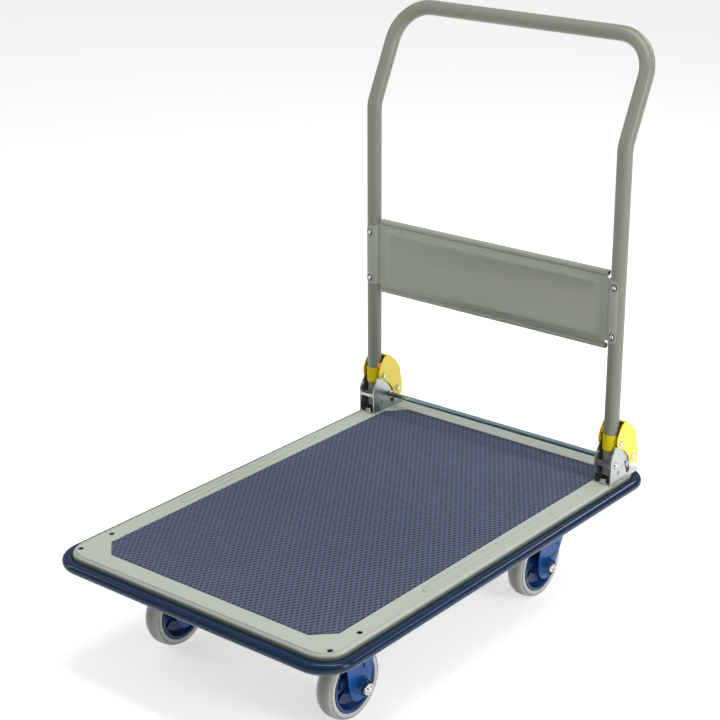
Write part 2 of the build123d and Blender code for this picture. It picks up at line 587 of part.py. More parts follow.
def side_plane(side):
    """The YZ plane through one pair of wheels' middle: Y across, Z up, +X out."""
    return Plane(origin=(side * TRACK_X, 0, 0), x_dir=(0, 1, 0), z_dir=(1, 0, 0))


def leg_profile(end_y, corners):
    """A leg's outline: the hull of its round lower end and its upper corners."""
    with BuildLine() as leg_lines:
        CenterArc((end_y, WHEEL_RADIUS), LEG_END_RADIUS, 0, 360)
        Polyline(*corners)
    make_hull(leg_lines.edges())


def leg_bosses(side, axle_y):
    """Add the pressed cone round the axle on the outer face of both legs."""
    for face in (-1, 1):
        boss_middle = side * TRACK_X + face * (LEG_OUTER + BOSS_HEIGHT / 2)
        with Locations((boss_middle, axle_y, WHEEL_RADIUS)):
            Cone(BOSS_BASE_RADIUS, BOSS_TOP_RADIUS, BOSS_HEIGHT, rotation=(0, face * 90, 0))


def caster_bolt_holes(side, end, depth_from, depth):
    """Cut one caster's four bolt holes down from a height."""
    with BuildSketch(Plane.XY.offset(depth_from)) as holes:
        with Locations(*[(side * TRACK_X + x, end * CASTER_Y + y) for x, y in CASTER_BOLT_POINTS]):
            Circle(BOLT_RADIUS)
    extrude(holes.sketch, amount=-depth, mode=Mode.SUBTRACT)


def top_plate(side, end):
    """Add one caster's rounded top plate with its bolt holes."""
    with BuildSketch(Plane.XY.offset(PLATE_TOP)) as plate:
        with Locations((side * TRACK_X, end * CASTER_Y)):
            RectangleRounded(PLATE_WIDTH, PLATE_LENGTH, PLATE_CORNER)
    extrude(plate.sketch, amount=-PLATE_THICK)
    caster_bolt_holes(side, end, PLATE_TOP + 1, PLATE_THICK + 2)


for side_name, side in SIDES.items():
    with BuildPart() as fixed_fork:
        with BuildSketch(side_plane(side)):
            leg_profile(-CASTER_Y, (
                (-CASTER_Y - LEG_KNEE_HALF, LEG_KNEE_Z),
                (-CASTER_Y - LEG_KNEE_HALF, PLATE_TOP - PLATE_THICK),
                (-CASTER_Y + LEG_KNEE_HALF, PLATE_TOP - PLATE_THICK),
                (-CASTER_Y + LEG_KNEE_HALF, LEG_KNEE_Z),
            ))
        extrude(amount=LEG_OUTER, both=True)
        with BuildSketch(side_plane(side)):
            with Locations((-CASTER_Y, 0)):
                Rectangle(200, 2 * (PLATE_TOP - PLATE_THICK))
        extrude(amount=LEG_INNER, both=True, mode=Mode.SUBTRACT)
        leg_bosses(side, -CASTER_Y)
        with BuildSketch(side_plane(side)):
            with Locations((-CASTER_Y, WHEEL_RADIUS)):
                Circle(AXLE_RADIUS + 0.05)
            with Locations((-CASTER_Y + 8.5, 96.5)):
                SlotOverall(9, 4, rotation=90)
        extrude(amount=LEG_OUTER + BOSS_HEIGHT + 1, both=True, mode=Mode.SUBTRACT)
        top_plate(side, -1)
    save(fixed_fork, f"fixed_fork_{side_name}")

    with BuildPart() as swivel_fork:
        with BuildSketch(side_plane(side)):
            leg_profile(REAR_AXLE_Y + 3, (
                (226.0, 84.0), (242.0, 135.0), (246.0, FORK_TOP_Z), (314.0, FORK_TOP_Z),
                (312.0, 130.0), (301.0, 101.0),
            ))
        extrude(amount=LEG_OUTER, both=True)
        with BuildSketch(side_plane(side)):
            with Locations((CASTER_Y, 0)):
                Rectangle(200, 2 * (FORK_TOP_Z - ROOF_SHEET))
        extrude(amount=LEG_INNER, both=True, mode=Mode.SUBTRACT)
        leg_bosses(side, REAR_AXLE_Y)
        with BuildSketch(side_plane(side)):
            with Locations((REAR_AXLE_Y, WHEEL_RADIUS)):
                Circle(AXLE_RADIUS + 0.05)
            with Locations((REAR_AXLE_Y + 34, 95)):
                Circle(2.4)
        extrude(amount=LEG_OUTER + BOSS_HEIGHT + 1, both=True, mode=Mode.SUBTRACT)
        with BuildSketch(Plane.XY.offset(FORK_TOP_Z)):
            with Locations((side * TRACK_X, CASTER_Y)):
                Circle(CROWN_RADIUS)
        extrude(amount=CROWN_THICK)
        with BuildSketch(Plane.XY.offset(FORK_TOP_Z + CROWN_THICK)):
            with Locations((side * TRACK_X, CASTER_Y)):
                Circle(KINGPIN_RADIUS + RUNNING_GAP)
        extrude(amount=-CROWN_THICK - ROOF_SHEET - 1, mode=Mode.SUBTRACT)
    save(swivel_fork, f"swivel_fork_{side_name}")

    with BuildPart() as swivel_plate:
        top_plate(side, 1)
        with BuildSketch(Plane.XY.offset(DUST_RING_BOTTOM)):
            with Locations((side * TRACK_X, CASTER_Y)):
                Circle(DUST_RING_OUTER)
                Circle(DUST_RING_INNER, mode=Mode.SUBTRACT)
        extrude(amount=PLATE_TOP - PLATE_THICK - DUST_RING_BOTTOM)
        with BuildSketch(Plane.XY.offset(PLATE_TOP)):
            with Locations((side * TRACK_X, CASTER_Y)):
                Circle(KINGPIN_RADIUS)
        extrude(amount=-PLATE_THICK, mode=Mode.SUBTRACT)
    save(swivel_plate, f"swivel_plate_{side_name}")

    flange_top = FORK_TOP_Z - ROOF_SHEET - 0.1
    with BuildPart() as kingpin:
        with BuildSketch(Plane.XY.offset(flange_top)):
            with Locations((side * TRACK_X, CASTER_Y)):
                Circle(KINGPIN_FLANGE)
        extrude(amount=-6)
        with BuildSketch(Plane.XY.offset(flange_top)):
            with Locations((side * TRACK_X, CASTER_Y)):
                Circle(KINGPIN_RADIUS)
        extrude(amount=PLATE_TOP - flange_top)
    save(kingpin, f"kingpin_{side_name}")

    with BuildPart() as ball_race:
        with Locations((side * TRACK_X, CASTER_Y, FORK_TOP_Z + CROWN_THICK + BALL_RADIUS + 0.1)):
            with PolarLocations(RACE_RADIUS, BALL_COUNT):
                Sphere(BALL_RADIUS)
    save(ball_race, f"ball_race_{side_name}")

with BuildPart() as caster_bolts:
    for side in SIDES.values():
        for end in (-1, 1):
            points = [(side * TRACK_X + x, end * CASTER_Y + y) for x, y in CASTER_BOLT_POINTS]
            hex_bolt(points, PLATE_TOP - PLATE_THICK, -1, PLATE_THICK + RIB_SHEET)
save(caster_bolts, "caster_bolts")

# ---------------------------------------------------------------- axles
NUT_FLATS, NUT_THICK, BOLT_END = 19.0, 8.5, 12.6
HEAD_RADIUS, HEAD_THICK, COLLAR_RING_RADIUS, COLLAR_RING_THICK = 8.5, 5.0, 12.0, 2.6
SEAT_OFFSET = LEG_OUTER + BOSS_HEIGHT


def axle(side, y):
    """One wheel's axle bolt: round head inboard or outboard, thread at the other end."""
    outward = -side if y < 0 else side
    head_face = side * TRACK_X + outward * SEAT_OFFSET
    far_end = side * TRACK_X - outward * (SEAT_OFFSET + BOLT_END)
    ring_end = head_face + outward * COLLAR_RING_THICK
    disc_along_x(far_end, head_face, y, WHEEL_RADIUS, AXLE_RADIUS)
    disc_along_x(head_face, ring_end, y, WHEEL_RADIUS, COLLAR_RING_RADIUS)
    disc_along_x(ring_end, ring_end + outward * HEAD_THICK, y, WHEEL_RADIUS, HEAD_RADIUS)


def axle_nut(side, y):
    """The hexagon nut and washer on one axle's threaded end."""
    outward = side if y < 0 else -side
    face = side * TRACK_X + outward * SEAT_OFFSET
    washer_end = face + outward * 2
    disc_along_x(face, washer_end, y, WHEEL_RADIUS, COLLAR_RING_RADIUS)
    hex_along_x(washer_end, washer_end + outward * NUT_THICK, y, WHEEL_RADIUS, NUT_FLATS)
    with BuildSketch(Plane(origin=(face, 0, 0), x_dir=(0, 1, 0), z_dir=(1, 0, 0))) as bore:
        with Locations((y, WHEEL_RADIUS)):
            Circle(AXLE_RADIUS)
    extrude(bore.sketch, amount=NUT_THICK + 3, both=True, mode=Mode.SUBTRACT)


with BuildPart() as front_axle_nuts:
    for side in SIDES.values():
        axle_nut(side, -CASTER_Y)
save(front_axle_nuts, "front_axle_nuts")

for side_name, side in SIDES.items():
    with BuildPart() as front_axle:
        axle(side, -CASTER_Y)
    save(front_axle, f"front_axle_{side_name}")
    with BuildPart() as rear_axle:
        axle(side, REAR_AXLE_Y)
    save(rear_axle, f"rear_axle_{side_name}")
    with BuildPart() as rear_axle_nut:
        axle_nut(side, REAR_AXLE_Y)
    save(rear_axle_nut, f"rear_axle_nut_{side_name}")

# ================================================================ wheels
BUSH_RADIUS, BUSH_HALF_LENGTH = 10.0, 23.8
HUB_RADIUS, HUB_HALF_LENGTH = 16.5, 22.0
WEB_HALF_THICK, RIM_SEAT_RADIUS, RIM_SHEET = 3.0, 46.0, 4.0
FLANGE_RADIUS, FLANGE_THICK, RIM_HALF_WIDTH = 49.6, 2.4, 16.4
SIDEWALL_HALF = 15.6
SHOULDER_STEPS = ((15.8, 8.8), (15.0, 6.0), (13.0, 3.1), (10.0, 1.1), (6.0, 0.0))


def spin_profile(side, y, points):
    """Revolve an outline of (offset, radius) points about one wheel's axle line."""
    plane = Plane(origin=(side * TRACK_X, y, WHEEL_RADIUS), x_dir=(1, 0, 0), z_dir=(0, -1, 0))
    with BuildSketch(plane) as outline:
        with BuildLine():
            Polyline(*points, close=True)
        make_face()
    revolve(outline.sketch, axis=Axis((side * TRACK_X, y, WHEEL_RADIUS), (1, 0, 0)))


def mirrored(points):
    """An outline's right half followed by its mirror image."""
    return [*points, *[(-offset_x, radius) for offset_x, radius in reversed(points)]]


for end_name, wheel_y in (("front", -CASTER_Y), ("rear", REAR_AXLE_Y)):
    for side_name, side in SIDES.items():
        wheel_name = f"{end_name}_{side_name}"
        with BuildPart() as tyre:
            spin_profile(side, wheel_y, mirrored([
                (RIM_HALF_WIDTH - FLANGE_THICK, RIM_SEAT_RADIUS),
                (RIM_HALF_WIDTH - FLANGE_THICK, FLANGE_RADIUS), (SIDEWALL_HALF, FLANGE_RADIUS + 1),
                *[(half_width, WHEEL_RADIUS - drop) for half_width, drop in SHOULDER_STEPS],
            ]))
        save(tyre, f"tyre_{wheel_name}")
        with BuildPart() as rim:
            spin_profile(side, wheel_y, mirrored([
                (HUB_HALF_LENGTH, BUSH_RADIUS), (HUB_HALF_LENGTH, HUB_RADIUS),
                (WEB_HALF_THICK, HUB_RADIUS + 3), (WEB_HALF_THICK, RIM_SEAT_RADIUS - RIM_SHEET - 3),
                (RIM_HALF_WIDTH, RIM_SEAT_RADIUS - RIM_SHEET + 2), (RIM_HALF_WIDTH, FLANGE_RADIUS),
                (RIM_HALF_WIDTH - FLANGE_THICK, FLANGE_RADIUS),
                (RIM_HALF_WIDTH - FLANGE_THICK, RIM_SEAT_RADIUS),
            ]))
        save(rim, f"rim_{wheel_name}")
        with BuildPart() as bush:
            spin_profile(side, wheel_y, mirrored([
                (BUSH_HALF_LENGTH, AXLE_RADIUS + RUNNING_GAP), (BUSH_HALF_LENGTH, BUSH_RADIUS),
            ]))
        save(bush, f"bush_{wheel_name}")
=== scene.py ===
"""The looks of a platform trolley with a folding handle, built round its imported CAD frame."""

import math

import bmesh
import bpy
from mathutils import Matrix, Vector


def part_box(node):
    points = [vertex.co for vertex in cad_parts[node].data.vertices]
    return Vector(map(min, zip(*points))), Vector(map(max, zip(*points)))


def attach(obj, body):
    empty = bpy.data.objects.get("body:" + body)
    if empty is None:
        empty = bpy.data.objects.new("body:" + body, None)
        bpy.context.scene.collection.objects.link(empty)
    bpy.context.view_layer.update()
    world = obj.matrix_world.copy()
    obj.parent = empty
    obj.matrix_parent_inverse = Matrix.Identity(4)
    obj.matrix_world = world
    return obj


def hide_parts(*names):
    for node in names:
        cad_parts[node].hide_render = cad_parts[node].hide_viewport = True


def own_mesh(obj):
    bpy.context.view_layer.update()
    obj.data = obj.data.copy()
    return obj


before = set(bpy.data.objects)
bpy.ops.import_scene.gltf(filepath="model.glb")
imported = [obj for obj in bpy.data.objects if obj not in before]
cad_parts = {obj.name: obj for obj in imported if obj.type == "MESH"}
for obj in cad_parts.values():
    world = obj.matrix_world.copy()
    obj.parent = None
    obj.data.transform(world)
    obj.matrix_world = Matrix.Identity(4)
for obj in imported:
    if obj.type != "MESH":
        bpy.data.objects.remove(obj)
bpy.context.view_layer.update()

MM = 0.001
SIDES = {"left": -1, "right": 1}
ENDS = ("front", "rear")


def centre_of(node):
    """The middle of a CAD node's box."""
    low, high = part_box(node)
    return (low + high) / 2


# ---------------------------------------------------------------- places from the frame, and sizes
MAT_LOW, MAT_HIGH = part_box("deck_mat")
TUBE_LOW, TUBE_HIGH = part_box("handle_tube")
PANEL_LOW, PANEL_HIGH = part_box("handle_panel")
TRAY_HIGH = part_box("deck_tray")[1]
DECK_TOP = TRAY_HIGH.z

TUBE_RADIUS = 13.6 * MM
UPRIGHT_X = TUBE_HIGH.x - TUBE_RADIUS
UPRIGHT_Y = TUBE_LOW.y + TUBE_RADIUS
HANDLE_TOP_Z = TUBE_HIGH.z - TUBE_RADIUS
HANDLE_TOP_Y = TUBE_HIGH.y - TUBE_RADIUS
ELBOW_Z = 817.4 * MM
ELBOW_RADIUS, TOP_CORNER_RADIUS = 45 * MM, 68 * MM
LIP_WIDTH = 11 * MM
TRAY_CORNER = 42 * MM
RIM_HALF_X = TRAY_HIGH.x - LIP_WIDTH
RIM_HALF_Y = TRAY_HIGH.y - LIP_WIDTH
SPARE_HOLE_YS = (-347 * MM, -417 * MM)

TAB_LOW_Z, TAB_HIGH_Z = 471 * MM, 586 * MM
PANEL_SCREW_ZS = (482.6 * MM, 573.0 * MM)
GUARD_BOLTS_YZ = ((364.5 * MM, 282.0 * MM), (409.3 * MM, 243.7 * MM))
GUARD_CHEEK = 20.5 * MM     # from the tube's middle out to a guard's cheek
BRACKET_CHEEK = 17.8 * MM   # from the tube's middle out to a bracket's cheek

AXLE_Z, TRACK_X = centre_of("tyre_front_right").z, centre_of("tyre_front_right").x
FRONT_Y, REAR_Y = centre_of("tyre_front_right").y, centre_of("tyre_rear_right").y
LEG_OUTER = 27 * MM         # from a wheel's middle out to its fork's outer face
SEAT = LEG_OUTER + 7 * MM   # and out to the boss that the axle's head and nut sit on
BALL_TRACK, BALL_RADIUS, BALL_COUNT = 27 * MM, 3 * MM, 14


# ================================================================ materials
def ramp(nodes, low, high):
    """A two-stop colour ramp."""
    node = nodes.new("ShaderNodeValToRGB")
    node.color_ramp.elements[0].color = (*low, 1)
    node.color_ramp.elements[1].color = (*high, 1)
    return node


def opened(material):
    """A material's nodes, its links, its shader and a new source of coordinates."""
    tree = material.node_tree
    return tree.nodes, tree.links, tree.nodes["Principled BSDF"], tree.nodes.new("ShaderNodeTexCoord")


def colour_mix(nodes, links, base, mode="MIX"):
    """A colour mix node with a colour on its first side."""
    mix = nodes.new("ShaderNodeMix")
    mix.data_type = "RGBA"
    mix.blend_type = mode
    links.new(base, mix.inputs["A"])
    return mix


def spread(colour, share):
    """A darker and a lighter neighbour of a colour."""
    return [c * (1 - share) for c in colour], [min(1.0, c * (1 + share)) for c in colour]


def noise(nodes, links, coords, scale, detail=3.0, stretch=(1, 1, 1)):
    """A noise texture in object space, stretched along an axis if asked."""
    mapping = nodes.new("ShaderNodeMapping")
    mapping.inputs["Scale"].default_value = stretch
    texture = nodes.new("ShaderNodeTexNoise")
    texture.inputs["Scale"].default_value = scale
    texture.inputs["Detail"].default_value = detail
    links.new(coords.outputs["Object"], mapping.inputs["Vector"])
    links.new(mapping.outputs["Vector"], texture.inputs["Vector"])
    return texture.outputs["Fac"]


def surface(name, colour, rough, *, vary=0.06, blotch=9.0, metal=0.0, coat=0.0, grain=900.0,
            bump=0.05, rough_vary=0.06, stretch=(1, 1, 1), dirt=None, dirt_share=0.0, specular=0.5):
    """A procedural finish: blotchy colour, uneven gloss, a fine grain in relief, and settled dirt."""
    material = bpy.data.materials.new(name)
    material.use_nodes = True
    nodes, links, shader, coords = opened(material)
    shader.inputs["Metallic"].default_value = metal
    shader.inputs["Coat Weight"].default_value = coat
    shader.inputs["Coat Roughness"].default_value = 0.12
    shader.inputs["Specular IOR Level"].default_value = specular

    low, high = spread(colour, vary)
    tone = ramp(nodes, low, high)
    links.new(noise(nodes, links, coords, blotch, 5.0, stretch), tone.inputs["Fac"])
    base = tone.outputs["Color"]
    if dirt:
        mask = nodes.new("ShaderNodeMapRange")
        mask.inputs["From Min"].default_value = 0.5
        mask.inputs["From Max"].default_value = 0.75
        mask.inputs["To Max"].default_value = dirt_share
        links.new(noise(nodes, links, coords, blotch * 4.3, 8.0), mask.inputs["Value"])
        mix = colour_mix(nodes, links, base)
        mix.inputs["B"].default_value = (*dirt, 1)
        links.new(mask.outputs["Result"], mix.inputs["Factor"])
        base = mix.outputs["Result"]
    links.new(base, shader.inputs["Base Color"])

    gloss = nodes.new("ShaderNodeMapRange")
    gloss.inputs["To Min"].default_value = max(0.02, rough - rough_vary)
    gloss.inputs["To Max"].default_value = min(1.0, rough + rough_vary)
    links.new(noise(nodes, links, coords, blotch * 3.1, 6.0, stretch), gloss.inputs["Value"])
    links.new(gloss.outputs["Result"], shader.inputs["Roughness"])

    relief = nodes.new("ShaderNodeBump")
    relief.inputs["Strength"].default_value = bump
    relief.inputs["Distance"].default_value = 0.4 * MM
    links.new(noise(nodes, links, coords, grain, 2.0, stretch), relief.inputs["Height"])
    links.new(relief.outputs["Normal"], shader.inputs["Normal"])
    return material


def spangled(name, colour, rough):
    """Zinc plate: metal with faint crystal patches of differing brightness and gloss."""
    material = surface(name, colour, rough, metal=1.0, vary=0.05, blotch=14.0, bump=0.03, grain=700.0)
    nodes, links, shader, coords = opened(material)
    crystals = nodes.new("ShaderNodeTexVoronoi")
    crystals.inputs["Scale"].default_value = 160.0
    links.new(coords.outputs["Object"], crystals.inputs["Vector"])
    mix = colour_mix(nodes, links, shader.inputs["Base Color"].links[0].from_socket, "SOFT_LIGHT")
    mix.inputs["Factor"].default_value = 0.12
    links.new(crystals.outputs["Color"], mix.inputs["B"])
    tint = nodes.new("ShaderNodeHueSaturation")
    tint.inputs["Saturation"].default_value = 0.25
    links.new(mix.outputs["Result"], tint.inputs["Color"])
    links.new(tint.outputs["Color"], shader.inputs["Base Color"])
    return material


def multiply_base(nodes, links, shader, tone):
    """Multiply a shader's base colour by a ramp's colour."""
    mix = colour_mix(nodes, links, shader.inputs["Base Color"].links[0].from_socket, "MULTIPLY")
    mix.inputs["Factor"].default_value = 1.0
    links.new(tone.outputs["Color"], mix.inputs["B"])
    links.new(mix.outputs["Result"], shader.inputs["Base Color"])


def shade_by_height(material, low, high, low_shade_colour, high_colour):
    """Blend a finish from one colour low down to another higher up, under its own unevenness: painted shade
    on the lower parts.
    """
    nodes, links, shader, coords = opened(material)
    parts = nodes.new("ShaderNodeSeparateXYZ")
    links.new(coords.outputs["Object"], parts.inputs["Vector"])
    level = nodes.new("ShaderNodeMapRange")
    level.inputs["From Min"].default_value = low
    level.inputs["From Max"].default_value = high
    links.new(parts.outputs["Z"], level.inputs["Value"])
    tone = ramp(nodes, low_shade_colour, high_colour)
    links.new(level.outputs["Result"], tone.inputs["Fac"])
    multiply_base(nodes, links, shader, tone)
    return material


def light_by_facing(material, tread_shade_colour, wall_lit_colour):
    """Tint a wheel's finish by which way it faces: one colour round the tread, another on the walls, as
    painted light: a shaded tread and brightly lit walls.
    """
    nodes, links, shader, coords = opened(material)
    parts = nodes.new("ShaderNodeSeparateXYZ")
    links.new(coords.outputs["Normal"], parts.inputs["Vector"])
    facing = nodes.new("ShaderNodeMath")
    facing.operation = "ABSOLUTE"
    links.new(parts.outputs["X"], facing.inputs[0])
    tone = ramp(nodes, tread_shade_colour, wall_lit_colour)
    links.new(facing.outputs["Value"], tone.inputs["Fac"])
    multiply_base(nodes, links, shader, tone)
    return material


RIB_PAINT = surface("rib_paint", (0.330, 0.360, 0.315), 0.46, vary=0.03, bump=0.08, grain=650,
                    specular=0.35, dirt=(0.24, 0.25, 0.22), dirt_share=0.08)
# The tray's finish darkens from 2.5 mm to 7 mm below the deck's top: painted shade on the wall under the rim
# and on the underside.
TRAY_PAINT = shade_by_height(
    surface("tray_paint", (0.408, 0.445, 0.388), 0.46, vary=0.03, bump=0.08, grain=650,
            specular=0.35, dirt=(0.32, 0.33, 0.29), dirt_share=0.08),
    DECK_TOP - 7.0 * MM, DECK_TOP - 2.5 * MM, (0.29, 0.285, 0.265), (1.0, 1.0, 1.0))
# The mat darkens in the grooves between its bars: painted shade in the low parts of the tread.
MAT_RUBBER = shade_by_height(
    surface("mat_rubber", (0.073, 0.097, 0.164), 0.50, vary=0.08, bump=0.12, grain=1500,
            specular=0.30, dirt=(0.12, 0.14, 0.19), dirt_share=0.10),
    DECK_TOP - 0.80 * MM, DECK_TOP - 0.08 * MM, (0.07, 0.085, 0.15), (1.0, 1.0, 0.95))
BUMPER_VINYL = surface("bumper_vinyl", (0.0068, 0.0225, 0.058), 0.12, vary=0.12, bump=0.02, grain=400,
                       specular=0.20, rough_vary=0.03, dirt=(0.014, 0.034, 0.07), dirt_share=0.12)
TUBE_PAINT = surface("tube_paint", (0.190, 0.203, 0.161), 0.34, vary=0.03, bump=0.05, grain=600,
                     specular=0.4, dirt=(0.17, 0.18, 0.145), dirt_share=0.08)
PANEL_PAINT = surface("panel_paint", (0.285, 0.306, 0.248), 0.30, vary=0.03, bump=0.05, grain=600,
                      specular=0.45, dirt=(0.20, 0.21, 0.17), dirt_share=0.08)
ZINC = spangled("zinc_plate", (0.38, 0.46, 0.45), 0.32)
BAR_ZINC = surface("bar_zinc", (0.30, 0.44, 0.46), 0.15, metal=1.0, vary=0.10, grain=900, bump=0.04,
                   stretch=(0.15, 1, 1))
STEEL = surface("bright_steel", (0.62, 0.60, 0.57), 0.24, metal=1.0, vary=0.10, grain=1200, bump=0.06)
# Near-black for dark rings, cups and a crescent: painted shade in gaps, holes and along folds.
SHADE_BLACK = surface("shade_black", (0.030, 0.034, 0.042), 0.40, metal=0.6, vary=0.2, bump=0.1, grain=900)
RIM_PAINT = surface("rim_paint", (0.0016, 0.030, 0.135), 0.22, vary=0.12, bump=0.06, grain=420,
                    specular=0.40, dirt=(0.004, 0.026, 0.09), dirt_share=0.2)
BLUE_PAINT = surface("blue_paint", (0.0025, 0.062, 0.250), 0.24, vary=0.10, bump=0.06, grain=420,
                     specular=0.32, dirt=(0.004, 0.04, 0.14), dirt_share=0.2)
# Painted shade on the tyre's tread and painted light on its walls, by which way each faces.
TYRE = light_by_facing(
    surface("tyre_rubber", (0.500, 0.520, 0.487), 0.62, vary=0.05, bump=0.20, grain=1400,
            specular=0.3, dirt=(0.44, 0.45, 0.42), dirt_share=0.22),
    (0.46, 0.46, 0.45), (1.0, 1.0, 1.0))
GUARD_YELLOW = surface("guard_yellow", (0.88, 0.70, 0.020), 0.34, vary=0.04, bump=0.06, grain=500,
                       coat=0.25, dirt=(0.78, 0.60, 0.02), dirt_share=0.25)
COLLAR_YELLOW = surface("collar_yellow", (0.62, 0.52, 0.0), 0.55, vary=0.05, bump=0.05, grain=700,
                        specular=0.12)
# Orange for the stop buffers: painted shade, the guard's yellow as it looks in shade.
GUARD_SHADE_ORANGE = surface("orange_guard_shade", (0.80, 0.28, 0.05), 0.48, vary=0.10, bump=0.15, grain=900)
NYLON = surface("black_nylon", (0.018, 0.018, 0.020), 0.45, vary=0.2, bump=0.12, grain=1000)


# ================================================================ mesh helpers
def finish_piece(bm, name, body, material, replaced=(), bevel=0.0, segments=3, angle=32):
    """Turn a bmesh into a piece that rides on a body, with soft edges and smooth shading."""
    bmesh.ops.recalc_face_normals(bm, faces=bm.faces)
    mesh = bpy.data.meshes.new(name)
    bm.to_mesh(mesh)
    bm.free()
    mesh.shade_smooth()
    mesh.set_sharp_from_angle(angle=math.radians(angle))
    mesh.materials.append(material)
    piece = bpy.data.objects.new(name, mesh)
    bpy.context.scene.collection.objects.link(piece)
    if bevel:
        soften(piece, bevel, segments)
    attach(piece, body)
    if replaced:
        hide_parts(*replaced)
    return piece


def soften(piece, width, segments):
    """Round a piece's sharp edges."""
    rounding = piece.modifiers.new("rounded_edges", "BEVEL")
    rounding.width = width
    rounding.segments = segments
    rounding.limit_method = "ANGLE"
    rounding.angle_limit = math.radians(35)
    rounding.harden_normals = True
    rounding.use_clamp_overlap = True


def ring_rows(bm, rows, close_rows=False):
    """Skin a list of closed point rings with quads."""
    made = [[bm.verts.new(point) for point in row] for row in rows]
    count = len(made[0])
    last_row = len(made) if close_rows else len(made) - 1
    for i in range(last_row):
        here, there = made[i], made[(i + 1) % len(made)]
        for k in range(count):
            n = (k + 1) % count
            bm.faces.new((here[k], here[n], there[n], there[k]))
    return made


def close_sheet(bm, made):
    """Close both ends of a thick sheet, whose rings run along one face and back along the other."""
    for end in (made[0], made[-1]):
        count = len(end)
        for i in range(count // 2 - 1):
            bm.faces.new((end[i], end[i + 1], end[count - 2 - i], end[count - 1 - i]))


def even_turns(count):
    """Angles that divide a full turn evenly."""
    return [2 * math.pi * i / count for i in range(count)]


def beside(centre, axis, along, radius, turn):
    """A point beside an axis through centre, at a distance along it, a radius and an angle."""
    c, s = radius * math.cos(turn), radius * math.sin(turn)
    return Vector(centre) + Vector({"X": (along, c, s), "Y": (c, along, s), "Z": (c, s, along)}[axis])


def lathe(bm, profile, centre, axis="X", segments=72):
    """Spin a profile of (along the axis, radius) pairs about a line through centre."""
    rows = [[beside(centre, axis, along, radius, turn) for along, radius in profile]
            for turn in even_turns(segments)]
    ring_rows(bm, rows, close_rows=True)


def in_mm(profile, facing=1):
    """A profile written in millimetres, turned to face either way along its axis."""
    return [(facing * along * MM, radius * MM) for along, radius in profile]


def mirrored(half):
    """A profile followed by its own mirror image about the middle plane."""
    return half + [(-along, radius) for along, radius in reversed(half)]


def capped(profile):
    """Take an open profile's ends in to the axis, so that its lathe is a closed solid."""
    hair = 0.02 * MM
    return [(profile[0][0], hair), *profile, (profile[-1][0], hair)]


def arc(centre, radius, start, end, steps):
    """Points round an arc, in degrees."""
    turns = [math.radians(start + (end - start) * i / steps) for i in range(steps + 1)]
    return [(centre[0] + radius * math.cos(t), centre[1] + radius * math.sin(t)) for t in turns]


def rounded_rectangle(half_x, half_y, radius, shift=(0, 0)):
    """A closed loop of points with four round corners."""
    corners = ((1, 1, 0), (-1, 1, 90), (-1, -1, 180), (1, -1, 270))
    loop = []
    for sx, sy, start in corners:
        corner = (shift[0] + sx * (half_x - radius), shift[1] + sy * (half_y - radius))
        loop += arc(corner, radius, start, start + 90, 14)
    return loop


def flat_sweep(bm, loop_at, section):
    """Carry a section of (outward, height) points round a flat closed loop.

    loop_at(outward) gives the loop grown by that much.
    """
    loops = [[Vector((x, y, z)) for x, y in loop_at(out)] for out, z in section]
    rows = [[loop[i] for loop in loops] for i in range(len(loops[0]))]
    ring_rows(bm, rows, close_rows=True)


def filleted(points, radii, steps=16):
    """A path through points with each inner corner rounded by its own radius."""
    path = [Vector(points[0])]
    for before, corner, after, radius in zip(points, points[1:], points[2:], radii):
        before, corner, after = Vector(before), Vector(corner), Vector(after)
        into, out = (before - corner).normalized(), (after - corner).normalized()
        half = into.angle(out) / 2
        centre = corner + (into + out).normalized() * radius / math.sin(half)
        start = corner + into * radius / math.tan(half) - centre
        end = corner + out * radius / math.tan(half) - centre
        normal = start.cross(end).normalized()
        sweep_angle = start.angle(end)
        for i in range(steps + 1):
            path.append(centre + Matrix.Rotation(sweep_angle * i / steps, 3, normal) @ start)
    path.append(Vector(points[-1]))
    return path


def tube_along(bm, path, radius, bore=0.0, around=40):
    """A round bar or open-ended tube along a path."""
    tangents = []
    for i, point in enumerate(path):
        ahead, behind = path[min(i + 1, len(path) - 1)], path[max(i - 1, 0)]
        tangents.append((ahead - behind).normalized())
    side = tangents[0].orthogonal().normalized()
    rows = []
    for point, tangent in zip(path, tangents):
        side = (side - tangent * side.dot(tangent)).normalized()
        up = tangent.cross(side)
        rows.append([point + (side * math.cos(t) + up * math.sin(t)) * radius for t in even_turns(around)])
    outer = ring_rows(bm, rows)
    if not bore:
        bm.faces.new(outer[0])
        bm.faces.new(outer[-1])
        return
    inner_rows = [
        [point + (edge - point).normalized() * bore for edge in row] for point, row in zip(path, rows)
    ]
    inner = ring_rows(bm, inner_rows)
    for end in (0, -1):
        for k in range(around):
            n = (k + 1) % around
            bm.faces.new((outer[end][k], outer[end][n], inner[end][n], inner[end][k]))


def refined(node, body, material, bevel, segments=3):
    """A CAD part's true shape, welded, cleaned and given rounded edges."""
    bm = bmesh.new()
    bm.from_mesh(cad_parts[node].data)
    bmesh.ops.remove_doubles(bm, verts=bm.verts, dist=0.002 * MM)
    bmesh.ops.dissolve_limit(bm, angle_limit=math.radians(0.6), verts=bm.verts, edges=bm.edges)
    return finish_piece(bm, f"{node}_skin", body, material, (node,), bevel, segments)


def joined(name, makers, body, material, replaced=()):
    """One piece from several makers that each add geometry to the same bmesh."""
    bm = bmesh.new()
    for maker in makers:
        maker(bm)
    return finish_piece(bm, name, body, material, replaced)


def hardware(name, makers, body, replaced=(), material=STEEL):
    """A piece of steel hardware: bolts, nuts, rivets, springs or rings."""
    return joined(name, makers, body, material, replaced)


